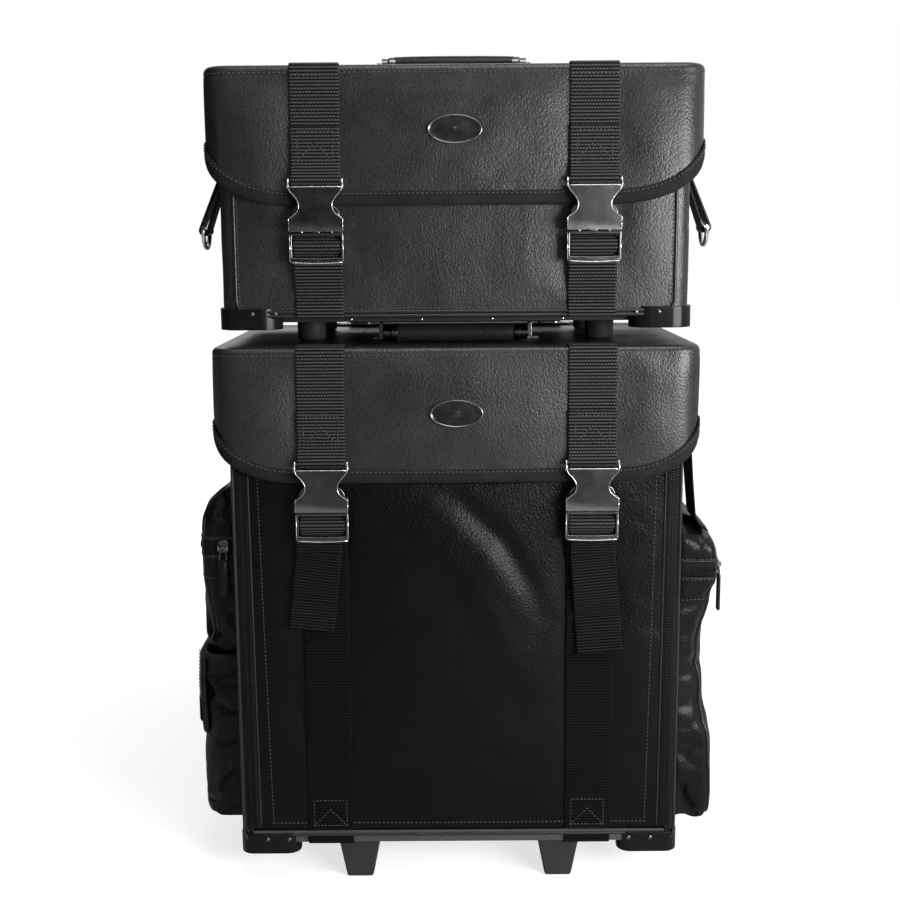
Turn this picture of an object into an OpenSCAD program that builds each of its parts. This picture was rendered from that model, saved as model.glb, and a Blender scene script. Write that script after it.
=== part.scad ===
// Soft-sided rolling makeup case in two tiers, in millimetres.
// Front faces -Y, up is +Z, the floor is z = 0, and the origin is the bottom centre of its box.
// The lower case rolls on two rear wheels and two front feet, and the upper case lifts off it.

/* [Lower case] */
// Width of the lower body across its side walls
lower_w = 360; // [336:4:440]
// Depth of the lower body from its front panel to its back cover
lower_d = 250; // [208:2:310]
// Underside of the lower body above the floor
ground_gap = 33; // [28:1:40]
// Height of the lower body from its underside to the top of its lid
lower_h = 416; // [344:4:500]
// Thickness of the leather-covered boards
wall = 4; // [3:0.5:5]
// Height of the front panel's hinge line above the underside
panel_sill = 10; // [9:1:16]
// Height of the inner shelf above the underside
shelf_z = 160; // [120:5:200]

/* [Upper case] */
// Height of the upper case from its underside to the top of its lid
upper_h = 193; // [160:1:235]
// Distance of the upper front behind the lower front
upper_setback = 7; // [4:1:14]
// Space between the lower lid and the upper body, which its feet fill
stand_gap = 22; // [20:1:27]
// Height of the inner tray below the upper rim
tray_h = 52; // [40:2:64]
// Distance of the lids' back edges in front of the handle bay
deck_front = 12; // [8:1:18]

/* [Lids] */
// How far each lid stands out beyond the lower body's sides
lid_overhang = 14; // [12:1:18]
// How far each lid stands out beyond the upper body's sides
upper_overhang = 9.5; // [8:0.5:12]
// Drop of the upper flap below the lid's top
upper_drop = 105; // [96:1:112]
// Drop of the lower flap below the lid's top
lower_drop = 107; // [98:1:114]
// Rise of the flap's edge from its middle to the corners
flap_rise = 39; // [30:1:46]
// Length of the curved corner of the flap
flap_run = 70; // [56:1:72]
// Thickness of the flap and skirts
flap_t = 3.5; // [2.5:0.5:4]
// Free space between the body and the flap
flap_gap = 4.3; // [4:0.1:5.2]
// Radius of the lid's upright corners
lid_r = 20; // [14:1:24]

/* [Straps and buckles] */
// Distance of each strap's centre from the middle
strap_x = 107; // [90:1:112]
// Width of the webbing
strap_w = 38; // [32:0.4:46]
// Thickness of the webbing
strap_t = 1.6; // [1.2:0.1:2]
// How far the buckles stand out beyond the webbing at each side
buckle_edge = 2; // [1.5:0.25:4]
// Thickness of the buckle sockets
buckle_t = 9.8; // [9:0.2:11.6]
// Height of the buckle sockets with their wire bar
socket_h = 41; // [38:1:49]
// Height of the buckle tongues without their prongs
tongue_h = 23.5; // [21:0.5:28]
// Distance of the buckles' joint line below the lid's top
buckle_drop = 127; // [124:1:131]
// Length of the loose strap end at the left
tail_left = 56; // [46:1:68]
// Length of the loose strap end at the right
tail_right = 77; // [64:1:93]

/* [Rolling gear] */
// Radius of the rear wheels
wheel_r = 31; // [26:0.5:37.2]
// Width of the rear wheels
wheel_w = 22; // [18:1:26]
// Distance of each wheel's centre in from the side of the body
wheel_inset = 28; // [26:1:34]
// Radius of the wheel axles
axle_r = 3; // [2.5:0.1:4]
// Distance of each front foot's centre from the middle
foot_x = 83.5; // [60:1:100]

/* [Telescopic handle] */
// Distance of each handle tube's centre from the middle
handle_x = 90; // [70:1:100]
// Width of the outer handle tubes
tube_w = 28; // [26:0.5:33]
// Depth of the outer handle tubes
tube_d = 18; // [17:0.2:19]
// Wall of the handle tubes
tube_wall = 1.6; // [1.3:0.1:1.9]
// Depth of the bay between the inner back wall and the back cover
bay_d = 23; // [21:1:28]
// Length of each stage that stays inside the one below at full pull-out
tube_overlap = 95; // [80:5:120]
// Height of the grip
grip_h = 18; // [15:1:22]

/* [Carry handles] */
// Distance between the ends of each carry handle
carry_w = 122; // [100:2:140]
// Reach of each carry handle from its pins to the middle of its bar
carry_reach = 36; // [30:1:44]
// Radius of the bar
carry_r = 7; // [6:0.2:7.6]

/* [Pockets] */
// How far the pockets stand out from the sides
pocket_out = 37; // [30:1:45]
// Depth of the pockets from front to back
pocket_d = 172; // [140:2:200]
// Distance of the pockets behind the front of the lower body
pocket_setback = 19; // [14:1:30]
// Distance of the right pocket's top below the lid's skirt
right_pocket_drop = 75; // [30:5:120]
// Distance of the left zipped pocket's top below the lid's skirt
zip_pocket_drop = 44; // [20:2:60]
// Height of the left flap pocket
flap_pocket_h = 142; // [118:2:171]

/* [Fits] */
// Free space around sliding and turning fits
slide_clear = 0.4; // [0.3:0.05:0.6]
// Free space between soft pieces that lie against each other
soft_clear = 0.3; // [0.2:0.05:0.5]

/* [Hidden] */
$fn = 48;

// Front and back planes: the box from the sockets' faces to the back cover is centred on y = 0
buckle_gap = 0.7;
buckle_w = strap_w + 2 * buckle_edge;
flap_out = flap_gap + flap_t;
front_reach = flap_out + buckle_gap + buckle_t;
y_front = -(lower_d - front_reach) / 2;
y_back = y_front + lower_d;
y_bay = y_back - wall - bay_d;
y_tubes = y_back - wall - bay_d / 2;

// Heights of the lower case
z_body = ground_gap;
z_top = ground_gap + lower_h;
z_sill = z_body + panel_sill;
board_t = 6;
z_rim = z_top - board_t;
z_shelf = z_body + shelf_z;
z_lower_edge = z_top - lower_drop;
z_skirt = z_lower_edge + flap_rise;
z_lower_buckle = z_top - buckle_drop - 3;

// The upper case stands on the lower lid
y_up = y_front + upper_setback;
y_up_back = y_bay - deck_front;
upper_d = y_up_back - y_up;
z_up = z_top + stand_gap;
z_up_top = z_up + upper_h;
z_up_rim = z_up_top - board_t;
z_upper_edge = z_up_top - upper_drop;
z_upper_buckle = z_up_top - buckle_drop + 1;
lid_w = lower_w + 2 * lid_overhang;
upper_w = lid_w - 2 * upper_overhang;
lid_gap = 0.6;
y_deck = y_up_back + lid_gap + 1.4;

// Small fixed details
body_r = 8;
upper_r = 14;
rim_w = 8;
panel_half = lower_w / 2 - rim_w;
foot_top_w = 35;
foot_bottom_w = 22;
foot_d = 30;
guard_w = 47;
guard_h = 17;
guard_t = 3;
guard_d = 42;
housing_t = 4;
housing_side = 2 + wheel_w / 2;
cheek_r = 12;
wheel_x = lower_w / 2 - wheel_inset;
y_wheel = y_back - wheel_r;
housing_top = 2 * wheel_r + 4 + housing_t;
hub_r = 0.62 * wheel_r;
tube_r = 4;
stage_1_w = tube_w - 2 * (tube_wall + slide_clear);
stage_1_d = tube_d - 2 * (tube_wall + slide_clear);
stage_2_w = stage_1_w - 2 * (tube_wall + slide_clear);
stage_2_d = stage_1_d - 2 * (tube_wall + slide_clear);
z_bracket = z_body + wall + 8;
bracket_h = 15;
z_tubes = z_bracket + bracket_h;
bezel_t = 2;
z_bezel = z_top + bezel_t;
z_grip = z_bezel + 1;
z_stage_1 = z_tubes + 16;
z_stage_2 = z_stage_1 + 11;
stage_1_travel = z_bezel - z_stage_1 - tube_overlap;
stage_2_travel = z_grip - z_stage_2 - tube_overlap;
grip_d = 26;
grip_w = 2 * handle_x + tube_w - 6;
button_w = 36;
button_d = 12;
button_travel = 4;
eye_r = 5;
eye_w = 8;
pin_r = 2;
eye_x = carry_w / 2 - eye_w - 1;
y_upper_carry = y_up + upper_d / 2;
y_lower_carry = y_front + 78;
pocket_x = lower_w / 2;
pocket_r = 10;
y_pocket = y_front + pocket_setback;
z_flap_pocket = z_body + 14;
z_zip_pocket = z_flap_pocket + flap_pocket_h + 2;
zip_pocket_h = z_skirt - zip_pocket_drop - z_zip_pocket;
right_slope = 18;
zip_slope = 20;
z_right_pocket = z_body + 9;
right_pocket_h = z_skirt - right_pocket_drop - right_slope - z_right_pocket;
slider_seat = 1.8;
pull_pin_r = 0.8;
pull_eye_r = 1.5;
pull_out = pull_eye_r + 0.3;
zip_reach = slider_seat + pull_out + pull_eye_r;
pocket_flap_t = zip_reach;
pocket_flap_h = 70;
pocket_zip_z = z_right_pocket + right_pocket_h - 27;
left_zip_z = z_zip_pocket + zip_pocket_h - 54;
slider_t = flap_gap - 0.9;
slider_w = 9;
slider_h = 16;
pull_w = 8;
pull_h = 32;
ring_r = 14;
ring_wire = 1.75;
ring_x = upper_w / 2 + 17;
ring_y = y_up + 40;
ring_z = z_up + 69;
tray_wall = 2.5;
tray_clear = 0.2;
tongue_t = 7.6;
prong_h = 17;
tongue_travel = prong_h + 2;
tail_stand = 0.5 * strap_t + 0.4 * (flap_out + buckle_gap) - 1.3;
prong_t = 3.4;
prong_x = 11;
badge_half_w = 21.5;
badge_half_h = 11;
badge_t = 2;

// Height of a flap's edge at x, above the edge's level middle
function edge_rise(x) =
    let (t = (abs(x) - (lid_w / 2 - flap_run)) / flap_run)
    t <= 0 ? 0 : flap_rise * (1 - sqrt(max(0, 1 - t * t)));

// Points of a flap's curved edge between -half and half, at a drop below z
function edge_points(half, z, steps = 10) = [
    for (side = [-1, 1], i = [0:steps])
        let (first = lid_w / 2 - flap_run, k = side < 0 ? steps - i : i,
             x = first + (half - first) * sin(90 * k / steps))
        [side * x, z + edge_rise(x)]
];

// Prism of an outline drawn in x and z, from y0 to y1
module front_prism(points, y0, y1) {
    translate([0, y1, 0]) rotate([90, 0, 0]) linear_extrude(y1 - y0) polygon(points);
}

// Prism of an outline drawn in y and z, from x0 to x1
module side_prism(points, x0, x1) {
    translate([x0, 0, 0]) rotate([90, 0, 90]) linear_extrude(x1 - x0) polygon(points);
}

// Rectangle from (x0, y0) to (x1, y1) with true round corners
module round_rect(x0, y0, x1, y1, r) {
    translate([x0 + r, y0]) square([x1 - x0 - 2 * r, y1 - y0]);
    translate([x0, y0 + r]) square([x1 - x0, y1 - y0 - 2 * r]);
    for (x = [x0 + r, x1 - r], y = [y0 + r, y1 - r]) translate([x, y]) circle(r);
}

// Upright prism with round corners between two heights
module round_block(x0, y0, x1, y1, r, z0, z1) {
    translate([0, 0, z0]) linear_extrude(z1 - z0) round_rect(x0, y0, x1, y1, r);
}

// Box from one corner to the opposite one
module box(a, b) {
    translate(a) cube(b - a);
}

// Cylinder along X between two places
module rod_x(r, x0, x1, y, z) {
    translate([x0, y, z]) rotate([0, 90, 0]) cylinder(r = r, h = x1 - x0);
}

// Cylinder along Y between two places
module rod_y(r, x, y0, y1, z) {
    translate([x, y0, z]) rotate([-90, 0, 0]) cylinder(r = r, h = y1 - y0);
}

// Both sides of the middle plane
module both_sides() {
    children();
    mirror([1, 0, 0]) children();
}

// Space that a wheel housing takes out of the body
module housing_space() {
    box([wheel_x - housing_side - housing_t, y_back - 2 * wheel_r - 2 - housing_t, -1],
        [wheel_x + housing_side + housing_t, y_back + 1, housing_top]);
}

// Round-cornered tubes at both sides, hollow from end to end
module tube_pair(w, d, z0, z1) {
    both_sides() difference() {
        round_block(handle_x - w / 2, y_tubes - d / 2, handle_x + w / 2, y_tubes + d / 2,
            tube_r, z0, z1);
        round_block(handle_x - w / 2 + tube_wall, y_tubes - d / 2 + tube_wall,
            handle_x + w / 2 - tube_wall, y_tubes + d / 2 - tube_wall, tube_r - tube_wall,
            z0 - 1, z1 + 1);
    }
}

module lower_shell() {
    color("#17171a") union() {
        difference() {
            round_block(-lower_w / 2, y_front, lower_w / 2, y_back - wall, body_r, z_body,
                z_rim - soft_clear);
            box([-lower_w / 2 + wall, y_front + wall, z_body + wall],
                [lower_w / 2 - wall, y_bay - wall, z_top]);
            box([-panel_half, y_front - 1, z_sill], [panel_half, y_front + wall + 1, z_top]);
            box([-lower_w / 2 + wall, y_bay, z_body + wall], [lower_w / 2 - wall, y_back, z_top]);
            both_sides() housing_space();
        }
        rear_deck();
    }
}

module front_header() {
    color("#17171a") front_prism(concat(edge_points(panel_half, z_lower_edge - 0.5),
        [[panel_half, z_rim - soft_clear], [-panel_half, z_rim - soft_clear]]),
        y_front, y_front + wall);
}

module front_panel() {
    color("#141417") front_prism(concat([[-panel_half + soft_clear, z_sill + soft_clear]],
        edge_points(panel_half - soft_clear, z_lower_edge - 1),
        [[panel_half - soft_clear, z_sill + soft_clear]]), y_front, y_front + wall);
}

module back_cover() {
    color("#1b1b1e") difference() {
        box([-lower_w / 2, y_back - wall, z_body], [lower_w / 2, y_back, z_top]);
        both_sides() housing_space();
    }
}

// Fixed strip of the lower case's top behind the lid, which the handle's tubes come up through
module rear_deck() {
    difference() {
        box([-lower_w / 2, y_deck, z_rim - 1], [lower_w / 2, y_back - wall, z_top]);
        both_sides() round_block(handle_x - tube_w / 2, y_tubes - tube_d / 2,
            handle_x + tube_w / 2, y_tubes + tube_d / 2, tube_r, z_rim - 2, z_top + 1);
    }
}

module handle_bezel() {
    color("#0e0e10") difference() {
        round_block(-handle_x - 24, y_tubes - 14, handle_x + 24, y_back - 0.5, 6, z_top, z_bezel);
        both_sides() round_block(handle_x - stage_1_w / 2 - slide_clear,
            y_tubes - stage_1_d / 2 - slide_clear, handle_x + stage_1_w / 2 + slide_clear,
            y_tubes + stage_1_d / 2 + slide_clear, tube_r - tube_wall, z_top - 1, z_bezel + 1);
    }
}

module handle_base_bracket() {
    color("#26262a") box([-handle_x - tube_w / 2 - 4, y_bay, z_bracket],
        [handle_x + tube_w / 2 + 4, y_back - wall, z_tubes]);
}

module handle_outer_tubes() {
    color("#8d9094") tube_pair(tube_w, tube_d, z_tubes, z_top);
}

module handle_stage_1_tubes() {
    color("#a3a6aa") tube_pair(stage_1_w, stage_1_d, z_stage_1, z_bezel);
}

module handle_stage_2_tubes() {
    color("#b4b7ba") tube_pair(stage_2_w, stage_2_d, z_stage_2, z_grip);
}

module handle_grip() {
    y0 = y_tubes - grip_d / 2;
    color("#101012") difference() {
        side_prism_round(y0, z_grip, y0 + grip_d, z_grip + grip_h, 6, -grip_w / 2, grip_w / 2);
        box([-button_w / 2 - slide_clear, y_tubes - button_d / 2 - slide_clear, z_grip + grip_h - 9],
            [button_w / 2 + slide_clear, y_tubes + button_d / 2 + slide_clear, z_grip + grip_h + 1]);
    }
}

// Bar along X with a round-cornered outline in y and z
module side_prism_round(y0, z0, y1, z1, r, x0, x1) {
    translate([x0, 0, 0]) rotate([90, 0, 90]) linear_extrude(x1 - x0) round_rect(y0, z0, y1, z1, r);
}

module handle_button() {
    z0 = z_grip + grip_h - 9 + button_travel + slide_clear;
    color("#3a3a3f") round_block(-button_w / 2, y_tubes - button_d / 2, button_w / 2,
        y_tubes + button_d / 2, 3, z0, z_grip + grip_h + 3);
}

module lower_shelf() {
    color("#202023") box([-lower_w / 2 + wall + soft_clear, y_front + wall + soft_clear, z_shelf],
        [lower_w / 2 - wall - soft_clear, y_bay - wall - soft_clear, z_shelf + wall]);
}

module front_feet() {
    color("#2a2a2e") for (side = [-1, 1])
        front_prism([for (p = [[-foot_bottom_w / 2, 0], [foot_bottom_w / 2, 0],
            [foot_top_w / 2, z_body], [-foot_top_w / 2, z_body]]) [side * foot_x + p[0], p[1]]],
            y_front + 3, y_front + 3 + foot_d);
}

// Moulded corner at the foot of a body: a block under it with lips up its front and side
module corner_guard(w, y0, z0, r) {
    difference() {
        round_block(w / 2 - guard_w, y0 - guard_t, w / 2 + guard_t, y0 + guard_d, r + guard_t,
            z0 - guard_h + 8, z0 + 8);
        round_block(-w / 2, y0, w / 2, y0 + 2 * guard_d, r, z0, z0 + 20);
        box([w / 2 - guard_w - 1, y0 + 12, z0 - guard_h], [w / 2 - 14, y0 + guard_d + 1, z0 + 1]);
    }
}

module lower_corner_guards() {
    color("#0f0f11") both_sides() corner_guard(lower_w, y_front, z_body, body_r);
}

module upper_corner_guards() {
    color("#0f0f11") both_sides() corner_guard(upper_w, y_up, z_up, upper_r);
}

module lower_strap_stubs() {
    color("#0c0c0d") both_sides() box([strap_x - strap_w / 2, y_front - strap_t, z_body],
        [strap_x + strap_w / 2, y_front, z_sill - 2]);
}

module wheel_housings() {
    x0 = wheel_x - housing_side;
    x1 = wheel_x + housing_side;
    y0 = y_back - 2 * wheel_r - 2;
    color("#161618") both_sides() difference() {
        union() {
            box([x0 - housing_t, y0 - housing_t, z_body], [x1 + housing_t, y_back, housing_top]);
            rod_x(cheek_r, x0 - housing_t, x1 + housing_t, y_wheel, wheel_r);
        }
        box([x0, y0, -1], [x1, y_back + 1, housing_top - housing_t]);
        rod_x(axle_r, x0 - housing_t - 1, x1 + housing_t + 1, y_wheel, wheel_r);
    }
}

module wheel_axles() {
    color("#b9bcc0") both_sides() rod_x(axle_r, wheel_x - housing_side - housing_t,
        wheel_x + housing_side + housing_t, y_wheel, wheel_r);
}

// Ring of a wheel about the axle, side is -1 at the left
module wheel_ring(side, r0, r1, w) {
    translate([side * wheel_x - w / 2, y_wheel, wheel_r]) rotate([0, 90, 0])
        difference() {
            cylinder(r = r1, h = w, $fn = 96);
            translate([0, 0, -1]) cylinder(r = r0, h = w + 2);
        }
}

module wheel_left_hub() {
    color("#55585c") wheel_ring(-1, axle_r + slide_clear / 2, hub_r, wheel_w + 2);
}

module wheel_left_tyre() {
    color("#101011") wheel_ring(-1, hub_r, wheel_r, wheel_w);
}

module wheel_right_hub() {
    color("#55585c") wheel_ring(1, axle_r + slide_clear / 2, hub_r, wheel_w + 2);
}

module wheel_right_tyre() {
    color("#101011") wheel_ring(1, hub_r, wheel_r, wheel_w);
}

// Lid with its top board, front flap and side skirts, open at the back
module lid(y0, y1, z1, z_edge) {
    difference() {
        round_block(-lid_w / 2, y0 - flap_out, lid_w / 2, y1 + 2 * lid_r, lid_r, z_edge, z1);
        round_block(-lid_w / 2 + flap_t, y0 - flap_gap, lid_w / 2 - flap_t, y1 + 3 * lid_r,
            lid_r - flap_t, z_edge - 1, z1 - board_t);
        box([-lid_w, y1, z_edge - 1], [lid_w, y1 + 4 * lid_r, z1 + 1]);
        front_prism(concat([[-lid_w, z_edge - 2], [-lid_w, z_edge + edge_rise(lid_w / 2)]],
            edge_points(lid_w / 2, z_edge),
            [[lid_w, z_edge + edge_rise(lid_w / 2)], [lid_w, z_edge - 2]]), y0 - 2 * flap_out, y1 + lid_r);
    }
}

module lower_lid() {
    color("#17171a") lid(y_front, y_up_back, z_top, z_lower_edge);
}

module upper_lid() {
    color("#17171a") lid(y_up, y_up_back, z_up_top, z_upper_edge);
}

// Webbing from the top of a lid over its front edge and down the flap to the socket's bar
module lid_straps(y0, z1, z_joint, back) {
    both_sides() side_prism([[y0 - flap_out, z_joint + socket_h - 6], [y0 - flap_out, z1],
        [y0 + back, z1], [y0 + back, z1 + strap_t], [y0 - flap_out - strap_t, z1 + strap_t],
        [y0 - flap_out - strap_t, z_joint + socket_h - 6]], strap_x - strap_w / 2, strap_x + strap_w / 2);
}

module lower_lid_straps() {
    color("#0c0c0d") lid_straps(y_front, z_top, z_lower_buckle, 8);
}

module upper_lid_straps() {
    color("#0c0c0d") lid_straps(y_up, z_up_top, z_upper_buckle, 56);
}

// Socket half of a buckle: waisted block with a mouth below, side windows and a wire bar above
module buckle_socket(y0, z_joint) {
    y1 = y0 - flap_out - buckle_gap;
    z_block = z_joint + socket_h - 10;
    half = buckle_w / 2;
    difference() {
        box([strap_x - half, y1 - buckle_t, z_joint], [strap_x + half, y1, z_block]);
        for (side = [-1, 1]) translate([0, y1 + 1, z_joint + 20]) rotate([90, 0, 0])
            translate([strap_x + side * (half + 10), 0, 0]) cylinder(r = 14, h = buckle_t + 2);
        box([strap_x - prong_x - 6, y1 - 6.6, z_joint - 1],
            [strap_x + prong_x + 6, y1 - 2, z_joint + prong_h + 2]);
        for (side = [-1, 1]) box([strap_x + side * 11.5 - 2, y1 - buckle_t - 1, z_joint + 7],
            [strap_x + side * 11.5 + 2, y1 - 5, z_joint + 17]);
    }
    for (side = [-1, 1]) box([strap_x + side * (half - 2) - 2, y1 - 5.6, z_block],
        [strap_x + side * (half - 2) + 2, y1 - 1.6, z_block + 8]);
    rod_x(2, strap_x - half, strap_x + half, y1 - 3.6, z_block + 8);
}

module lower_buckle_sockets() {
    color("#6d6f74") both_sides() buckle_socket(y_front, z_lower_buckle);
}

module upper_buckle_sockets() {
    color("#6d6f74") both_sides() buckle_socket(y_up, z_upper_buckle);
}

// Tongue half of a buckle: two prongs above and a ladder below that holds the webbing
module buckle_tongue(side, y0, z_joint) {
    x = side * strap_x;
    y1 = y0 - flap_out - buckle_gap - 0.2;
    half = buckle_w / 2;
    z0 = z_joint - tongue_h;
    difference() {
        box([x - half, y1 - tongue_t, z0], [x + half, y1, z_joint - soft_clear]);
        for (z = [z0 + 3.5, z0 + 12]) box([x - half + 5, y1 - tongue_t - 1, z],
            [x + half - 5, y1 + 1, z + 4.5]);
    }
    for (arm = [-1, 1]) box([x + arm * prong_x - 2, y1 - 2.1 - prong_t, z_joint - 1],
        [x + arm * prong_x + 2, y1 - 2.1, z_joint + prong_h]);
}

module lower_tongue_left() {
    color("#6d6f74") buckle_tongue(-1, y_front, z_lower_buckle);
}

module lower_tongue_right() {
    color("#6d6f74") buckle_tongue(1, y_front, z_lower_buckle);
}

module upper_tongue_left() {
    color("#6d6f74") buckle_tongue(-1, y_up, z_upper_buckle);
}

module upper_tongue_right() {
    color("#6d6f74") buckle_tongue(1, y_up, z_upper_buckle);
}

// Anchored webbing: flat on the face at y0 from z0, then out to the back of the tongue's ladder
module anchored_strap(y0, z0, z_joint) {
    y_out = y0 - flap_out - buckle_gap + 0.1 + strap_t;
    z_bend = z_joint - tongue_h - 26;
    side_prism([[y0, z0], [y0, z_bend], [y_out, z_bend + 22], [y_out, z_joint - 4],
        [y_out - strap_t, z_joint - 4], [y_out - strap_t, z_bend + 22 - strap_t],
        [y0 - strap_t, z_bend - strap_t / 2], [y0 - strap_t, z0]],
        strap_x - strap_w / 2, strap_x + strap_w / 2);
}

module panel_straps() {
    color("#0c0c0d") both_sides() anchored_strap(y_front, z_sill + 1, z_lower_buckle);
}

module upper_front_straps() {
    color("#0c0c0d") both_sides() anchored_strap(y_up, z_up, z_upper_buckle);
}

// Loose strap end that hangs below the tongue's travel in a shallow wave and slants to one side
module strap_tail(side, length, slant) {
    z1 = z_lower_buckle - tongue_h - tongue_travel - 1;
    y1 = y_front - tail_stand;
    wave = 1.2;
    steps = 12;
    line = [for (i = [0:steps]) let (s = i / steps) [y1 - wave * (1 + cos(540 * s)), z1 - length * s]];
    translate([side * strap_x - 4, 0, z1]) rotate([0, slant, 0]) translate([0, 0, -z1])
        side_prism(concat([for (p = line) [p[0] - strap_t / 2, p[1]]],
            [for (i = [steps:-1:0]) [line[i][0] + strap_t / 2, line[i][1]]]),
            -strap_w / 2, strap_w / 2);
}

module strap_tail_left() {
    color("#0c0c0d") strap_tail(-1, tail_left, 5);
}

module strap_tail_right() {
    color("#0c0c0d") strap_tail(1, tail_right, -7);
}

// Plain oval plate in the middle of a flap
module badge(y0, z) {
    front_prism([for (a = [0:10:350]) [badge_half_w * cos(a), z + badge_half_h * sin(a)]],
        y0 - flap_out - badge_t, y0 - flap_out);
}

module lower_badge() {
    color("#4c4e52") badge(y_front, z_top - 52);
}

module upper_badge() {
    color("#4c4e52") badge(y_up, z_up_top - 49);
}

// Brackets at both ends of a carry handle: plate, ear and pin
module carry_mounts(y, z) {
    both_sides() {
        difference() {
            union() {
                box([carry_w / 2 - 12, y - 10, z], [carry_w / 2 + 8, y + 10, z + 2]);
                box([carry_w / 2, y - 6, z + 2], [carry_w / 2 + 3, y + 6, z + carry_r + 6]);
            }
            box([carry_w / 2 - 13, y - 11, z + 1.6], [carry_w / 2 - slide_clear, y + 11, z + 3]);
        }
        rod_x(pin_r, eye_x - 1, carry_w / 2 + 1, y, z + carry_r + soft_clear);
    }
}

// Bail that lies forward on the lid: a bar, two arms and two eyes around the pins
module carry_bail(y, z) {
    zc = z + carry_r + soft_clear;
    difference() {
        union() {
            rod_x(carry_r, -eye_x - 2, eye_x + 2, y - carry_reach, zc);
            both_sides() {
                box([eye_x, y - carry_reach - 1, zc - 4], [eye_x + eye_w, y, zc + 4]);
                rod_x(eye_r, eye_x, eye_x + eye_w, y, zc);
            }
        }
        both_sides() rod_x(pin_r + slide_clear / 2, eye_x - 1, eye_x + eye_w + 1, y, zc);
    }
}

module lower_carry_mounts() {
    color("#8d9094") carry_mounts(y_lower_carry, z_top);
}

module upper_carry_mounts() {
    color("#b4b7ba") carry_mounts(y_upper_carry, z_up_top);
}

module lower_carry_handle() {
    color("#141416") carry_bail(y_lower_carry, z_top);
}

module upper_carry_handle() {
    color("#141416") carry_bail(y_upper_carry, z_up_top);
}

module upper_shell() {
    ledge_z = z_up_rim - tray_h - soft_clear - 4;
    color("#17171a") union() {
        difference() {
            round_block(-upper_w / 2, y_up, upper_w / 2, y_up_back, upper_r, z_up, z_up_rim - soft_clear);
            round_block(-upper_w / 2 + wall, y_up + wall, upper_w / 2 - wall, y_up_back - wall,
                upper_r - wall, z_up + wall, z_up_top);
        }
        both_sides() box([upper_w / 2 - wall - 6, y_up + 30, ledge_z],
            [upper_w / 2 - wall, y_up_back - 30, ledge_z + 4]);
    }
}

module upper_base_board() {
    color("#0f0f11") box([-upper_w / 2 + 24, y_up + 14, z_up - wall],
        [upper_w / 2 - 24, y_up_back - 10, z_up]);
}

module upper_feet() {
    color("#1a1a1d") for (x = [-120, 120], y = [y_up + 60, y_up_back - 36])
        translate([x, y, z_top + soft_clear]) cylinder(r = 12, h = stand_gap - wall - soft_clear);
}

// Lift-out tray, and the loose wall that stands in its middle clear of the tray's walls and floor
module upper_tray() {
    x1 = upper_w / 2 - wall - 1.2;
    y0 = y_up + wall + 1.2;
    y1 = y_up_back - wall - 1.2;
    z0 = z_up_rim - tray_h;
    r = upper_r - wall - 1;
    color("#2b2b30") difference() {
        round_block(-x1, y0, x1, y1, r, z0, z_up_rim - 8);
        box([-x1 + tray_wall + 6, y0 + tray_wall, z0 + tray_wall],
            [x1 - tray_wall - 6, y1 - tray_wall, z_up_rim]);
    }
    color("#2b2b30") box([-tray_wall / 2, y0 + tray_wall + tray_clear, z0 + tray_wall + tray_clear],
        [tray_wall / 2, y1 - tray_wall - tray_clear, z_up_rim - 10]);
}

// Leather tabs that stand off the upper sides, each ending in a loop around a ring's bar
module d_ring_tabs() {
    x = upper_w / 2;
    color("#17171a") both_sides() difference() {
        union() {
            box([x, ring_y - 11, ring_z + 22], [x + 3, ring_y + 11, ring_z + 50]);
            front_prism([[x, ring_z + 50], [x, ring_z + 32], [ring_x - 3.4, ring_z], [ring_x + 5, ring_z + 1],
                [x + 3, ring_z + 50]], ring_y - 9, ring_y + 9);
            rod_y(5.2, ring_x, ring_y - 9, ring_y + 9, ring_z);
        }
        rod_y(ring_wire + slide_clear, ring_x, ring_y - 20, ring_y + 20, ring_z);
    }
}

// D-shaped ring: a straight bar with a half hoop below
module d_ring(side) {
    translate([side * ring_x, ring_y, ring_z]) {
        rod_y(ring_wire, 0, -ring_r, ring_r, 0);
        rotate([0, 90, 0]) rotate([0, 0, -90]) rotate_extrude(angle = 180)
            translate([ring_r, 0]) circle(ring_wire);
    }
}

module d_ring_left() {
    color("#9a9da1") d_ring(-1);
}

module d_ring_right() {
    color("#9a9da1") d_ring(1);
}

// Padded pocket on a side with a sloping top, as an outline in x and z
module padded_pocket(side, z0, z1, out, slope) {
    x0 = pocket_x;
    x1 = pocket_x + out;
    r = pocket_r;
    intersection() {
        front_prism([for (p = [[x0, z0], [x1 - r, z0], [x1 - 0.3 * r, z0 + 0.3 * r], [x1, z0 + r],
            [x1, z1 - slope - r], [x1 - 0.3 * r, z1 - slope - 0.3 * r], [x1 - r, z1 - slope],
            [x0 + 4, z1], [x0, z1]]) [side * p[0], p[1]]], y_pocket, y_pocket + pocket_d);
        round_block(side < 0 ? -x1 : x0 - 2 * r, y_pocket, side < 0 ? 2 * r - x0 : x1,
            y_pocket + pocket_d, r, z0 - 1, z1 + 1);
    }
}

module right_pocket() {
    color("#151518") padded_pocket(1, z_right_pocket,
        z_right_pocket + right_pocket_h + right_slope, pocket_out, right_slope);
}

module left_zip_pocket() {
    color("#151518") padded_pocket(-1, z_zip_pocket, z_zip_pocket + zip_pocket_h,
        pocket_out, zip_slope);
}

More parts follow.
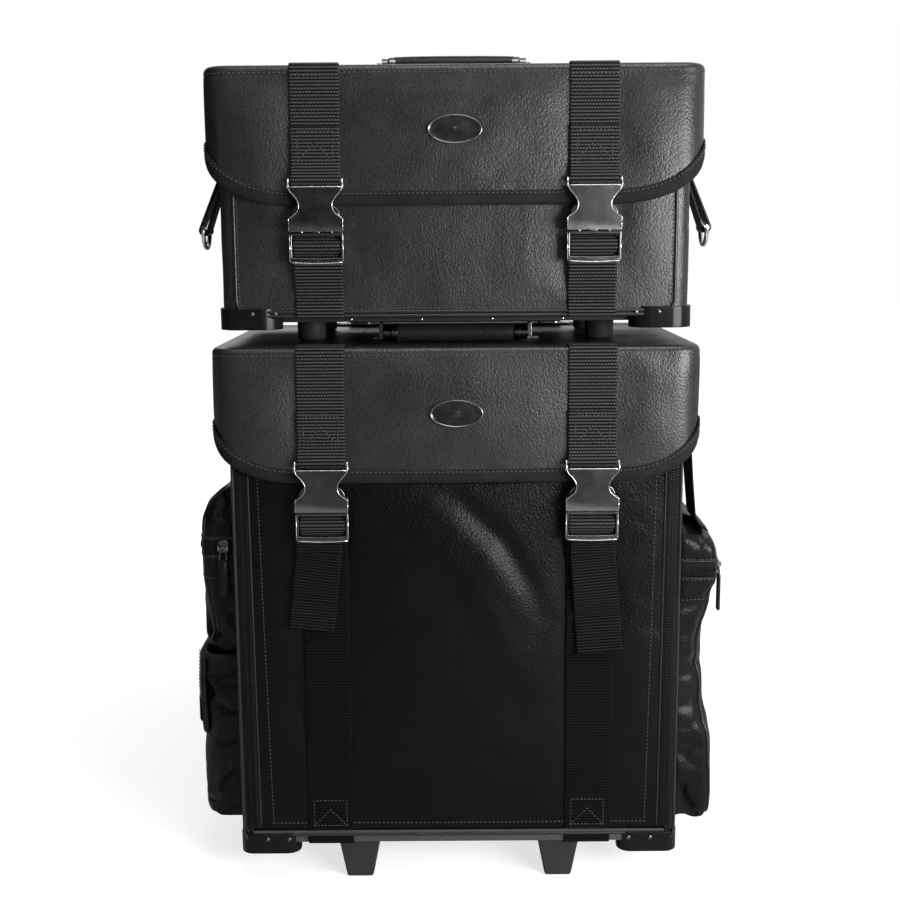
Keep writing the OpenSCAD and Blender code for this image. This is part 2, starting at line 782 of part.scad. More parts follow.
module left_flap_pocket() {
    t = 3;
    x1 = pocket_x + pocket_out;
    color("#151518") difference() {
        round_block(-x1, y_pocket, 2 * pocket_r - pocket_x, y_pocket + pocket_d, pocket_r,
            z_flap_pocket, z_flap_pocket + flap_pocket_h);
        round_block(-x1 + t, y_pocket + t, -pocket_x + 3 * pocket_r, y_pocket + pocket_d - t, pocket_r - t,
            z_flap_pocket + t, z_flap_pocket + flap_pocket_h + 1);
        box([-pocket_x, y_pocket - 1, 0], [0, y_pocket + pocket_d + 1, z_top]);
    }
}

module left_pocket_flap() {
    x = -pocket_x - pocket_out - soft_clear;
    z1 = z_flap_pocket + flap_pocket_h;
    color("#151518") box([x - pocket_flap_t, y_pocket + 4, z1 - pocket_flap_h],
        [x, y_pocket + pocket_d - 4, z1]);
}

// Webbing that leaves the right side below the lid's skirt and bows out to the pocket's top
module side_strap() {
    z0 = z_right_pocket + right_pocket_h + right_slope + 2;
    z1 = z_rim - 6;
    x = lower_w / 2;
    steps = 14;
    bow = 7;
    line = [for (i = [0:steps]) let (s = i / steps) [x + bow * pow(sin(180 * s), 2), z1 + (z0 - z1) * s]];
    color("#0c0c0d") front_prism(concat([for (p = line) [p[0] + strap_t, p[1]]],
        [for (i = [steps:-1:0]) line[i]]), y_front + 25, y_front + 25 + strap_w);
}

// Slider body with a flat tab below, lying on a face that looks along -Y
module zip_slider(z) {
    box([-slider_w / 2, -slider_t, z], [slider_w / 2, 0, z + slider_h]);
    box([-2.5, -slider_t, z - 12], [2.5, -slider_t + 1.5, z]);
}

module front_zip_slider_left() {
    color("#8d9094") translate([-panel_half, y_front - soft_clear, 0]) zip_slider(z_lower_edge + 26);
}

module front_zip_slider_right() {
    color("#8d9094") translate([panel_half, y_front - soft_clear, 0]) zip_slider(z_lower_edge + 26);
}

// Slider with two ears and a cross pin, on a face that looks along -Y
module pull_slider() {
    box([-slider_w / 2, 0, -4], [slider_w / 2, slider_seat, 6]);
    for (side = [-1, 1]) box([side * 3.6 - 0.9, -pull_out - 1.3, -2], [side * 3.6 + 0.9, 0.5, 2]);
    rod_x(pull_pin_r, -3.6, 3.6, -pull_out, 0);
}

// Pull: an eye around the cross pin and a bare tag below it
module pull_tag() {
    difference() {
        union() {
            rod_x(pull_eye_r, -2.3, 2.3, -pull_out, 0);
            box([-2.3, -pull_out - 0.7, -9], [2.3, -pull_out + 0.7, 0]);
            box([-pull_w / 2, -pull_out - 0.9, -9 - pull_h], [pull_w / 2, -pull_out + 0.9, -9]);
        }
        rod_x(pull_pin_r + slide_clear / 2, -3, 3, -pull_out, 0);
    }
}

// Places a pull's parts on the right pocket's outer face
module at_right_zip() {
    translate([pocket_x + pocket_out + slider_seat + soft_clear, y_pocket + 24, pocket_zip_z])
        rotate([0, 0, 90]) children();
}

// Places a pull's parts on the front face of the left zipped pocket
module at_left_zip() {
    translate([-pocket_x - 12, y_pocket - slider_seat - soft_clear, left_zip_z]) children();
}

module pocket_zip_slider_right() {
    color("#8d9094") at_right_zip() pull_slider();
}

module pocket_zip_pull_right() {
    color("#5d6065") at_right_zip() pull_tag();
}

module pocket_zip_slider_left() {
    color("#8d9094") at_left_zip() pull_slider();
}

module pocket_zip_pull_left() {
    color("#5d6065") at_left_zip() pull_tag();
}

lower_shell();
front_header();
back_cover();
handle_bezel();
handle_base_bracket();
handle_outer_tubes();
lower_shelf();
front_feet();
lower_corner_guards();
lower_strap_stubs();
wheel_housings();
wheel_axles();
right_pocket();
left_zip_pocket();
left_flap_pocket();
side_strap();
wheel_left_hub();
wheel_left_tyre();
wheel_right_hub();
wheel_right_tyre();
handle_stage_1_tubes();
handle_stage_2_tubes();
handle_grip();
handle_button();
lower_lid();
lower_lid_straps();
lower_buckle_sockets();
lower_badge();
lower_carry_mounts();
lower_carry_handle();
front_panel();
panel_straps();
strap_tail_left();
strap_tail_right();
lower_tongue_left();
lower_tongue_right();
upper_shell();
upper_base_board();
upper_feet();
upper_corner_guards();
upper_front_straps();
upper_tray();
d_ring_tabs();
d_ring_left();
d_ring_right();
upper_tongue_left();
upper_tongue_right();
upper_lid();
upper_lid_straps();
upper_buckle_sockets();
upper_badge();
upper_carry_mounts();
upper_carry_handle();
front_zip_slider_left();
front_zip_slider_right();
pocket_zip_slider_right();
pocket_zip_pull_right();
pocket_zip_slider_left();
pocket_zip_pull_left();
left_pocket_flap();
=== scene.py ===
import math

import bmesh
import bpy
import numpy as np
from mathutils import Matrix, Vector, noise
from mathutils.bvhtree import BVHTree


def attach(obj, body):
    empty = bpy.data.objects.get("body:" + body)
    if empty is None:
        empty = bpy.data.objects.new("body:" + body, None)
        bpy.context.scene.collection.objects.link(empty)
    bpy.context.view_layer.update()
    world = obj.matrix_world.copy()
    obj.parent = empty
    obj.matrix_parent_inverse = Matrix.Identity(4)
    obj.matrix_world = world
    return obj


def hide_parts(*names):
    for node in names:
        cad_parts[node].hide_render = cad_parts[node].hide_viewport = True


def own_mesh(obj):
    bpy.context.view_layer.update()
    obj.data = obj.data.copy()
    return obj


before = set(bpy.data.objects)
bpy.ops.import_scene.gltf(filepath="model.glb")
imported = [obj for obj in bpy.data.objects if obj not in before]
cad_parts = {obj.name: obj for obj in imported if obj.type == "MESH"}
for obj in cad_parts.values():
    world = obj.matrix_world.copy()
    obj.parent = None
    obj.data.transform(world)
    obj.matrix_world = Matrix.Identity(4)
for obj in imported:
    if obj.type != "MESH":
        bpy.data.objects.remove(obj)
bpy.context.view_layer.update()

# The photographer's corner: a pale floor that shows white and runs out to a white surround, soft boxes
# above, behind and at both sides, and a camera with a 52 mm lens a metre in front of the case, tilted
# down by 9.6 degrees.
camera = bpy.data.objects.new("camera", bpy.data.cameras.new("camera"))
bpy.context.scene.collection.objects.link(camera)
camera.data.sensor_width = 36
camera.data.lens = 52
camera.location = (-0.004, -1.138, 0.539)
camera.rotation_euler = (math.radians(80.4), math.radians(0.4), 0)
bpy.context.scene.camera = camera
bpy.context.scene.view_settings.view_transform = "Standard"


def new_finish(name):
    material = bpy.data.materials.new(name)
    material.use_nodes = True
    return material, material.node_tree, material.node_tree.nodes["Principled BSDF"]


def feed(tree, node, values):
    """Links a node's inputs to the sockets that are given, and sets the others to plain values."""
    for key, value in values.items():
        if isinstance(value, bpy.types.NodeSocket):
            tree.links.new(value, node.inputs[key])
        else:
            node.inputs[key].default_value = value


def add_node(tree, kind, values=None, **settings):
    made = tree.nodes.new(kind)
    for key, value in settings.items():
        setattr(made, key, value)
    feed(tree, made, values or {})
    return made


def maths(tree, operation, *values):
    return add_node(tree, "ShaderNodeMath", dict(enumerate(values)), operation=operation).outputs[0]


def mapped(tree, value, low, high, to_low, to_high, **settings):
    """A value moved from one range to another."""
    levels = {"Value": value, 1: low, 2: high, 3: to_low, 4: to_high}
    return add_node(tree, "ShaderNodeMapRange", levels, **settings).outputs[0]


def blended(tree, share, first, second, **settings):
    """A colour between two colours."""
    colours = {0: share, 6: first, 7: second}
    return add_node(tree, "ShaderNodeMix", colours, data_type="RGBA", **settings).outputs[2]


def cloudy(tree, where, scale, detail=2.0, **more):
    """A level that drifts from place to place."""
    values = {"Vector": where, "Scale": scale, "Detail": detail, **more}
    return add_node(tree, "ShaderNodeTexNoise", values).outputs["Fac"]


def stretched(tree, where, scale, **more):
    return add_node(tree, "ShaderNodeMapping", {"Vector": where, "Scale": scale, **more}).outputs[0]


def places(tree):
    return add_node(tree, "ShaderNodeTexCoord").outputs["Object"]


def bumped(tree, height, strength, distance, **more):
    values = {"Height": height, "Strength": strength, "Distance": distance, **more}
    return add_node(tree, "ShaderNodeBump", values).outputs[0]


def rgb(tone, *shares):
    """A colour from one tone and its shares of red, green and blue, or one share for all three."""
    red, green, blue = shares if len(shares) == 3 else shares * 3
    return (tone * red, tone * green, tone * blue, 1)


def shown_strength(tree, lit, mirrored, plain=1.0):
    """White to the camera and through glass, the given level in a reflection, and lit for all else."""
    path = add_node(tree, "ShaderNodeLightPath")
    seen = maths(tree, "MAXIMUM", path.outputs["Is Camera Ray"], path.outputs["Is Transmission Ray"])
    glossy = add_node(tree, "ShaderNodeMix", {0: path.outputs["Is Glossy Ray"], 2: lit, 3: mirrored})
    return add_node(tree, "ShaderNodeMix", {0: seen, 2: glossy.outputs[0], 3: plain}).outputs[0]


# The surround is brightest in reflections from the right and above, and falls off to the left and below.
white = (1, 1, 1, 1)
world = bpy.data.worlds.new("studio")
bpy.context.scene.world = world
world.use_nodes = True
world_tree = world.node_tree
world_way = add_node(world_tree, "ShaderNodeTexCoord").outputs["Generated"]
brightness = add_node(world_tree, "ShaderNodeVectorMath", {0: world_way, 1: (0.8, 0.0, 0.6)},
    operation="DOT_PRODUCT").outputs["Value"]
mirror_level = mapped(world_tree, brightness, -0.15, 0.45, 0.03, 0.9, interpolation_type="SMOOTHSTEP")
feed(world_tree, world_tree.nodes["Background"], {"Color": white,
    "Strength": shown_strength(world_tree, 0.14, mirror_level)})

floor_z = -0.0006
floor_mesh = bpy.data.meshes.new("floor")
floor_mesh.from_pydata([(-6, -4, floor_z), (6, -4, floor_z), (6, 8, floor_z), (-6, 8, floor_z)], [],
    [(0, 1, 2, 3)])
floor = bpy.data.objects.new("floor", floor_mesh)
bpy.context.scene.collection.objects.link(floor)
floor_paper, floor_tree, floor_shader = new_finish("floor_paper")
floor_fibre = add_node(floor_tree, "ShaderNodeTexNoise", {"Scale": 60.0, "Detail": 3.0}).outputs["Fac"]
floor_reach = add_node(floor_tree, "ShaderNodeVectorMath", {0: places(floor_tree)},
    operation="LENGTH").outputs["Value"]
floor_fade = mapped(floor_tree, floor_reach, 0.35, 1.5, 0.72, 1.0)
feed(floor_tree, floor_shader, {
    "Base Color": blended(floor_tree, floor_fibre, (0.52, 0.52, 0.52, 1), (0.56, 0.56, 0.56, 1)),
    "Roughness": 0.9, "Specular IOR Level": 0.0, "Emission Color": white,
    "Emission Strength": shown_strength(floor_tree, 0.0, 0.1, floor_fade)})
floor_mesh.materials.append(floor_paper)

for lamp_name, place, aim, size, power in (
        ("soft_box_top", (0.25, -0.6, 1.75), (0.05, 0, 0.5), (0.9, 0.6), 13),
        ("soft_box_left", (-1.5, -1.2, 1.0), (0, 0, 0.4), (0.5, 1.2), 1.5),
        ("soft_box_right", (0.78, -0.9, 0.5), (0.06, -0.1, 0.54), (0.8, 0.32), 21),
        ("soft_box_back", (-0.4, 1.7, 1.5), (0, 0.1, 0.4), (1.4, 1.1), 12)):
    lamp = bpy.data.objects.new(lamp_name, bpy.data.lights.new(lamp_name, "AREA"))
    bpy.context.scene.collection.objects.link(lamp)
    lamp.data.shape = "RECTANGLE"
    lamp.data.size, lamp.data.size_y = size
    lamp.data.energy = power
    lamp.location = place
    lamp.rotation_euler = (Vector(aim) - Vector(place)).to_track_quat("-Z", "Y").to_euler()

# Lower case boards: walls, floor, bay wall and rear deck of stiff board, covered outside in black
# pebbled imitation leather and inside in a woven lining. All sizes in the script are millimetres.
y_front = -115.85
y_back = 134.15
z_body = 33
z_sill = 43
z_top = 449
panel_half = 172


def leather(name, tone, rough, specular=0.14, grain=0.75, folds=0.25):
    """Pebbled leather: rounded cells parted by fine creases, in a tone with soft patches and folds, and
    with painted shade that darkens the creases and lightens the cells' domes.
    """
    material, tree, shader = new_finish(name)
    cells = 680
    where = places(tree)
    drift = add_node(tree, "ShaderNodeTexNoise", {"Vector": where, "Scale": 240.0, "Detail": 1.0})
    pull = add_node(tree, "ShaderNodeVectorMath", {0: drift.outputs["Color"], 1: (0.5, 0.5, 0.5)},
        operation="SUBTRACT")
    warped = add_node(tree, "ShaderNodeVectorMath", {0: pull.outputs[0], 1: (0.0009,) * 3, 2: where},
        operation="MULTIPLY_ADD")
    turned = stretched(tree, warped.outputs[0], (1.0, 1.0, 0.72), Rotation=(0.3, 0.5, 0.4))
    pebbles = add_node(tree, "ShaderNodeTexVoronoi", {"Vector": turned, "Scale": cells, "Smoothness": 0.5},
        feature="SMOOTH_F1")
    creases = add_node(tree, "ShaderNodeTexVoronoi", {"Vector": turned, "Scale": cells * 0.62},
        feature="DISTANCE_TO_EDGE")
    crease_line = mapped(tree, creases.outputs["Distance"], 0.0, 0.12, 0.0, 1.0)
    domes = maths(tree, "SUBTRACT", 1.0, pebbles.outputs["Distance"])
    height = maths(tree, "MULTIPLY_ADD", crease_line, 0.2, domes)
    patches = cloudy(tree, where, 26.0, 3.0, Roughness=0.55)
    waves = cloudy(tree, where, 11.0, Distortion=0.6)
    colour = blended(tree, patches, rgb(tone, 0.75, 0.75, 0.8), rgb(tone, 1.3, 1.3, 1.34))
    # Painted shade: the colour is darker down in the grain's creases and lighter on the pebbles' domes.
    painted_grain_shade = mapped(tree, height, 0.35, 1.05, 0.7, 1.15)
    feed(tree, shader, {"Base Color": blended(tree, 1.0, colour, painted_grain_shade, blend_type="MULTIPLY"),
        "Roughness": mapped(tree, patches, 0.3, 0.7, rough - 0.05, rough + 0.06),
        "Specular IOR Level": specular,
        "Normal": bumped(tree, height, grain, 0.00024, Normal=bumped(tree, waves, folds, 0.012))})
    return material


def woven_lining(name, colour):
    material, tree, shader = new_finish(name)
    where = places(tree)
    threads = [cloudy(tree, stretched(tree, where, scale), 1.0, 1.0)
        for scale in ((2400, 2400, 150), (150, 150, 2400))]
    cloth = maths(tree, "ADD", *threads)
    tint = mapped(tree, cloth, 0.7, 1.3, 0.65, 1.35)
    feed(tree, shader, {"Base Color": blended(tree, 1.0, (*colour, 1), tint, blend_type="MULTIPLY"),
        "Roughness": 0.85, "Sheen Weight": 0.1, "Normal": bumped(tree, cloth, 0.35, 0.0005)})
    return material


body_leather = leather("body_leather", 0.009, 0.42)
lining = woven_lining("lining", (0.045, 0.044, 0.048))


def add_piece(name, mesh, body, slot, *nodes):
    piece = bpy.data.objects.new(name, mesh)
    bpy.context.scene.collection.objects.link(piece)
    if nodes:
        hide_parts(*nodes)
    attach(piece, body)
    return piece


def baked_mesh(piece):
    """The mesh that a piece's modifiers give, as plain vertices and faces."""
    graph = bpy.context.evaluated_depsgraph_get()
    return bpy.data.meshes.new_from_object(piece.evaluated_get(graph), depsgraph=graph)


def finished(piece, *modifiers):
    """Puts a stack of modifiers on a piece and makes their result its mesh."""
    for kind, settings in modifiers:
        made = piece.modifiers.new(kind.lower(), kind)
        for key, value in settings.items():
            setattr(made, key, value)
    mesh = baked_mesh(piece)
    piece.modifiers.clear()
    old = piece.data
    piece.data = mesh
    bpy.data.meshes.remove(old)
    return piece


def mm_mesh(name, points, faces, materials):
    mesh = bpy.data.meshes.new(name)
    mesh.from_pydata([tuple(c * 0.001 for c in p) for p in points], [], faces)
    for material in materials:
        mesh.materials.append(material)
    mesh.polygons.foreach_set("use_smooth", [True] * len(mesh.polygons))
    mesh.update()
    return mesh


def board_copy(name, node, body, slot, materials, round_mm=1.5, inside=None):
    """A CAD board taken over with its edges turned round, as leather turns over board."""
    bm = bmesh.new()
    bm.from_mesh(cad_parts[node].data)
    bmesh.ops.remove_doubles(bm, verts=bm.verts, dist=1e-5)
    bmesh.ops.dissolve_limit(bm, angle_limit=math.radians(1), verts=bm.verts, edges=bm.edges)
    sharp = [e for e in bm.edges if len(e.link_faces) == 2 and e.calc_face_angle() > math.radians(35)]
    bmesh.ops.bevel(bm, geom=sharp, offset=round_mm * 0.001, segments=2, profile=0.6, affect="EDGES",
        clamp_overlap=True)
    bmesh.ops.triangulate(bm, faces=[f for f in bm.faces if len(f.verts) > 4])
    for face in bm.faces:
        face.smooth = True
        if inside and inside(face.calc_center_median() * 1000, face.normal):
            face.material_index = 1
    mesh = bpy.data.meshes.new(name)
    bm.to_mesh(mesh)
    bm.free()
    for material in materials:
        mesh.materials.append(material)
    piece = add_piece(name, mesh, body, slot, node)
    finished(piece, ("WEIGHTED_NORMAL", {"keep_sharp": True, "weight": 80}))
    return piece


board_copy("lower_boards", "lower_shell", "lower_case", "leather", [body_leather, lining], 1.5,
    lambda c, n: abs(c.x) < 177 and c.z > 36 and c.y < y_back - 5 and not (c.z > 448 and n.z > 0.5))
board_copy("header_strip", "front_header", "lower_case", "leather", [body_leather, lining], 1.2,
    lambda c, n: n.y > 0.5)


def loft(rows, wrap=False, ends="open"):
    """Faces between rows of points, wound to look outwards where rows run down and points run round. The
    two ends stay open, are capped, or are joined to each other."""
    count = len(rows[0])
    points = [p for row in rows for p in row]
    faces = []
    for i in range(len(rows) if ends == "joined" else len(rows) - 1):
        here, below = i * count, (i + 1) % len(rows) * count
        for j in range(count if wrap else count - 1):
            k = (j + 1) % count
            faces.append((here + j, below + j, below + k, here + k))
    if ends == "capped":
        faces += [tuple(range(count))[::-1], tuple(range(len(points) - count, len(points)))]
    return points, faces


def ripple(x, y, z, size, seed=0.0):
    return noise.noise(Vector((x / size + seed, y / size - seed, z / size + 2 * seed)))


# Side leather of the lower case: one soft cover over each side board, turned in at the front rim
# beside the zip and at the foot, crowned a little by the foam under it.
for side, side_name in ((-1, "left"), (1, "right")):
    plan = [(171.9, y_front + 2.6, 0, -1), (171.9, y_front, 0, -1)]
    plan += [(172 + 8.3 * math.sin(a), y_front + 8 - 8.3 * math.cos(a), math.sin(a), -math.cos(a))
        for a in np.linspace(0.2, math.pi / 2, 7)]
    plan += [(180.3, y, 1, 0) for y in np.linspace(y_front + 14, y_back - 4, 40)]
    rows = []
    for z in [442.4, 441.6] + list(np.linspace(436, 40, 66)) + [36.5, 34.2, 33.2]:
        turn_in = max(0.0, 36.5 - z) * 0.9 + max(0.0, z - 440) * 0.3
        row = []
        for x, y, nx, ny in plan:
            crown = 0.9 * nx * math.sin(math.pi * min(1, max(0, (y - y_front) / 246)))
            crown += 0.35 * ripple(x, y, z, 38)
            row.append((side * (x + nx * (crown - turn_in)), y + ny * (0.2 * crown - turn_in), z))
        rows.append(row)
    points, faces = loft(rows)
    if side < 0:
        faces = [f[::-1] for f in faces]
    name = f"side_leather_{side_name}"
    cover = add_piece(name, mm_mesh(name, points, faces, [body_leather]), "lower_case", "leather")
    finished(cover, ("SOLIDIFY", {"thickness": 0.0012, "offset": -1.0}))

# Piping and seams of the lower case: corded piping of the same leather along the front rim's outer
# edges and the foot of each side, with a lockstitched row beside it in heavy black thread.


def turns(count, start=0.0):
    """Angles all the way round."""
    return np.linspace(start, start + 2 * math.pi, count, endpoint=False)


def tube(path, radius, closed=False, sides=8, flat=1.0):
    """Points and faces of a round cord that follows a path, turned along it without twisting."""
    path = [Vector(p) for p in path]
    count = len(path)
    rows = []
    up = None
    for i, p in enumerate(path):
        ahead = path[(i + 1) % count] if closed or i < count - 1 else p
        behind = path[i - 1] if closed or i > 0 else p
        along = (ahead - behind).normalized()
        if up is None:
            up = along.orthogonal().normalized()
        up = (up - along * up.dot(along)).normalized()
        out = along.cross(up)
        rows.append([p + (up * math.cos(a) * flat + out * math.sin(a)) * radius for a in turns(sides)])
    points, faces = loft(rows, True, "joined" if closed else "open")
    if not closed:
        faces += [tuple(range(sides)), tuple(range(len(points) - 1, len(points) - sides - 1, -1))]
    return points, [f[::-1] for f in faces]


def joined(parts):
    points, faces = [], []
    for some_points, some_faces in parts:
        start = len(points)
        points += list(some_points)
        faces += [tuple(v + start for v in f) for f in some_faces]
    return points, faces


def sampled(path, step=3.0):
    """The same line with points a step apart."""
    path = [Vector(p) for p in path]
    out = [path[0]]
    for a, b in zip(path, path[1:]):
        parts = max(1, int((b - a).length / step))
        out += [a + (b - a) * (k / parts) for k in range(1, parts + 1)]
    return out


def rounded(path, radius, closed=False):
    """A line whose corners are turned into arcs."""
    path = [Vector(p) for p in path]
    count = len(path)
    arc = np.linspace(0, 1, 6)
    out = []
    for i, p in enumerate(path):
        if not closed and i in (0, count - 1):
            out.append(p)
            continue
        a, b = path[i - 1] - p, path[(i + 1) % count] - p
        cut = min(radius, 0.45 * a.length, 0.45 * b.length)
        start, end = p + a.normalized() * cut, p + b.normalized() * cut
        out += [start.lerp(p, t).lerp(p.lerp(end, t), t) for t in arc]
    return out


def grow_tree(name, tool_nodes):
    """A node tree that sets a small tool shape along the lines it is given, a pitch apart."""
    tree = bpy.data.node_groups.new(name, "GeometryNodeTree")
    tree.interface.new_socket("Geometry", in_out="INPUT", socket_type="NodeSocketGeometry")
    for label, kind, value in (("Pitch", "Float", 0.0034), ("Width", "Float", 0.0008),
            ("Height", "Float", 0.0006), ("Length", "Float", 0.0025), ("Facing", "Vector", (0, -1, 0))):
        socket = tree.interface.new_socket(label, in_out="INPUT", socket_type=f"NodeSocket{kind}")
        socket.default_value = value
    tree.interface.new_socket("Finish", in_out="INPUT", socket_type="NodeSocketMaterial")
    tree.interface.new_socket("Geometry", in_out="OUTPUT", socket_type="NodeSocketGeometry")
    given = add_node(tree, "NodeGroupInput")
    line = add_node(tree, "GeometryNodeMeshToCurve", {"Mesh": given.outputs["Geometry"]})
    spaced = add_node(tree, "GeometryNodeResampleCurve", {"Curve": line.outputs[0],
        "Length": given.outputs["Pitch"]}, mode="LENGTH")
    along = add_node(tree, "GeometryNodeInputTangent")
    turned = add_node(tree, "FunctionNodeAlignRotationToVector", {"Vector": along.outputs[0]}, axis="Z")
    faced = add_node(tree, "FunctionNodeAlignRotationToVector", {"Rotation": turned.outputs[0],
        "Vector": given.outputs["Facing"]}, axis="X", pivot_axis="Z")
    size = add_node(tree, "ShaderNodeCombineXYZ",
        {"X": given.outputs["Height"], "Y": given.outputs["Width"], "Z": given.outputs["Length"]})
    tool = tool_nodes(tree)
    set_out = add_node(tree, "GeometryNodeInstanceOnPoints", {"Points": spaced.outputs[0], "Instance": tool,
        "Rotation": faced.outputs[0], "Scale": size.outputs[0]})
    real = add_node(tree, "GeometryNodeRealizeInstances", {"Geometry": set_out.outputs[0]})
    finish = add_node(tree, "GeometryNodeSetMaterial", {"Geometry": real.outputs[0],
        "Material": given.outputs["Finish"]})
    result = add_node(tree, "NodeGroupOutput")
    tree.links.new(finish.outputs[0], result.inputs["Geometry"])
    return tree


def stitch_bead(tree):
    bead = add_node(tree, "GeometryNodeMeshUVSphere", {"Segments": 6, "Rings": 4, "Radius": 0.5})
    return add_node(tree, "GeometryNodeSetShadeSmooth", {"Geometry": bead.outputs[0]}).outputs[0]


sewn_row = grow_tree("sewn_row", stitch_bead)


def grown(name, lines, tree, finish, body, slot, **values):
    """A plain mesh of what a tree sets along lines, riding on one body."""
    points, edges = [], []
    for line in lines:
        start = len(points)
        points += [tuple(c * 0.001 for c in p) for p in line]
        edges += [(k, k + 1) for k in range(start, len(points) - 1)]
    mesh = bpy.data.meshes.new(name)
    mesh.from_pydata(points, edges, [])
    mesh.materials.append(finish)
    piece = bpy.data.objects.new(name, mesh)
    bpy.context.scene.collection.objects.link(piece)
    growth = piece.modifiers.new("growth", "NODES")
    growth.node_group = tree
    values["Finish"] = finish
    for item in tree.interface.items_tree:
        if item.item_type == "SOCKET" and item.in_out == "INPUT" and item.name in values:
            growth[item.identifier] = values[item.name]
    made = baked_mesh(piece)
    piece.modifiers.clear()
    piece.data = made
    bpy.data.meshes.remove(mesh)
    if not made.materials:
        made.materials.append(finish)
    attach(piece, body)
    return piece


thread, thread_tree, thread_shader = new_finish("black_thread")
thread_twist = cloudy(thread_tree, places(thread_tree), 900.0)
feed(thread_tree, thread_shader, {"Roughness": 0.5, "Sheen Weight": 0.15,
    "Base Color": blended(thread_tree, thread_twist, (0.004, 0.004, 0.0045, 1), (0.026, 0.026, 0.027, 1))})


def sew(name, lines, body, facing=(0, -1, 0), pitch=3.4, length=2.5, width=0.95):
    return grown(name, lines, sewn_row, thread, body, "webbing", Pitch=pitch * 0.001, Width=width * 0.001,
        Height=0.0008, Length=length * 0.001, Facing=facing)


def piped(name, cords, body):
    return add_piece(name, mm_mesh(name, *joined(cords), [cord_leather]), body, "leather")


cord_leather = leather("cord_leather", 0.014, 0.34, specular=0.3, grain=0.3, folds=0.1)
rim_cords = []
rim_y = y_front - 0.9
for side in (-1, 1):
    rim_line = [(side * 179.6, rim_y, 441), (side * 179.6, rim_y, 35.5), (side * 150, rim_y, 35.5)]
    rim_cords.append(tube(sampled(rounded(rim_line, 8)), 1.35))
    foot_line = [(side * 180.8, y, 35) for y in (y_front + 10, y_back - 6)]
    rim_cords.append(tube(sampled(foot_line, 8), 1.3))
    rear_line = [(side * 180.6, y_back - 3.2, z) for z in (440, 35)]
    rim_cords.append(tube(sampled(rear_line, 8), 1.4))
piped("rim_piping", rim_cords, "lower_case")
rim_seams = [[(s * 176.6, y_front - 0.3, z) for z in np.linspace(440, 40, 60)] for s in (-1, 1)]
sew("rim_stitches_front", rim_seams, "lower_case")
for side in (-1, 1):
    sew(f"rim_stitches_{'left' if side < 0 else 'right'}",
        [[(side * 181.5, y, 40.5) for y in np.linspace(y_front + 10, y_back - 8, 40)],
         [(side * 181.3, y_back - 9, z) for z in np.linspace(438, 42, 60)],
         [(side * 181.0, y_front + 13, z) for z in np.linspace(438, 42, 60)]], "lower_case", (side, 0, 0))

# Front zips: a coil zip down each side of the front panel. One woven tape with its row of teeth is
# sewn to the case, the other to the panel, so that the rows part when the panel drops.


def zip_cloth(name, colour):
    material, tree, shader = new_finish(name)
    weave = cloudy(tree, stretched(tree, places(tree), (1900, 1900, 700)), 1.0, 1.0)
    feed(tree, shader, {"Base Color": blended(tree, weave, rgb(colour, 0.5), rgb(colour, 1.9)),
        "Roughness": 0.8, "Specular IOR Level": 0.12, "Normal": bumped(tree, weave, 0.4, 0.0004)})
    return material


def zip_tooth(tree):
    tooth = add_node(tree, "GeometryNodeMeshCube", {"Size": (1, 1, 1)})
    return add_node(tree, "GeometryNodeSubdivisionSurface", {"Mesh": tooth.outputs[0], "Level": 1,
        "Edge Crease": 0.55}).outputs[0]


tooth_row = grow_tree("tooth_row", zip_tooth)
zip_tape = zip_cloth("zip_tape", 0.004)
zip_coil, coil_tree, coil_shader = new_finish("zip_coil")
coil_noise = cloudy(coil_tree, places(coil_tree), 300.0)
feed(coil_tree, coil_shader, {"Roughness": 0.32, "Specular IOR Level": 0.12,
    "Base Color": blended(coil_tree, coil_noise, (0.003, 0.003, 0.004, 1), (0.012, 0.012, 0.013, 1))})


def ribbon(line_a, line_b):
    """A flat band between two lines on the front, half a millimetre thick."""
    lift = Vector((0, -0.5, 0))
    rows = []
    for offset, line in ((0, line_a), (1, line_a), (1, line_b), (0, line_b)):
        rows.append([Vector(p) + lift * offset for p in line])
    return loft(rows + [rows[0]])


zip_top = 385.0
panel_top = 351
zip_foot = 46
for side, side_name in ((-1, "left"), (1, "right")):
    for owner, body, low, high, start, teeth_start, teeth_x in (
            ("case", "lower_case", 172.2, 177.5, zip_top, zip_top, panel_half + 0.95),
            ("panel", "front_panel", 166.5, 171.8, panel_top, panel_top - 1.1, panel_half - 0.95)):
        heights = np.linspace(start, zip_foot, 60)
        band = ribbon(*[[(side * x, y_front - 0.1, z) for z in heights] for x in (low, high)])
        name = f"zip_tape_{owner}_{side_name}"
        add_piece(name, mm_mesh(name, *band, [zip_tape]), body, "webbing")
        teeth_line = [(side * teeth_x, y_front - 1.05, z) for z in (teeth_start, zip_foot + 1)]
        grown(f"zip_teeth_{owner}_{side_name}", [teeth_line], tooth_row, zip_coil, body, "webbing",
            Pitch=0.0022, Width=0.0029, Height=0.0013, Length=0.00125)

# Back cover: a leather-covered board over the handle bay, edged with piping and sewn round, with a
# second sewn frame where the tubes run behind it.
board_copy("back_board", "back_cover", "lower_case", "leather", [body_leather], 1.6)
back_frame = [(-176.5, 0, 445.5), (176.5, 0, 445.5), (176.5, 0, 36.5), (-176.5, 0, 36.5)]
edge_line = rounded([(x, y_back + 0.5, z) for x, _, z in back_frame], 10, closed=True)
piped("back_piping", [tube(sampled(edge_line + edge_line[:1], 6)[:-1], 1.5, closed=True)], "lower_case")
seam_y = y_back + 0.15
inner = rounded([(x * 0.955, seam_y, 39 + (z - 33) * 0.972) for x, _, z in back_frame], 8, closed=True)
bay_line = rounded([(x, seam_y, z) for x, z in ((-116, 440), (-116, 82), (116, 82), (116, 440))], 10)
back_seams = [inner + inner[:1], bay_line, [p + Vector((0, 0, 3.4)) for p in bay_line]]
sew("back_stitches", back_seams, "lower_case", (0, 1, 0))
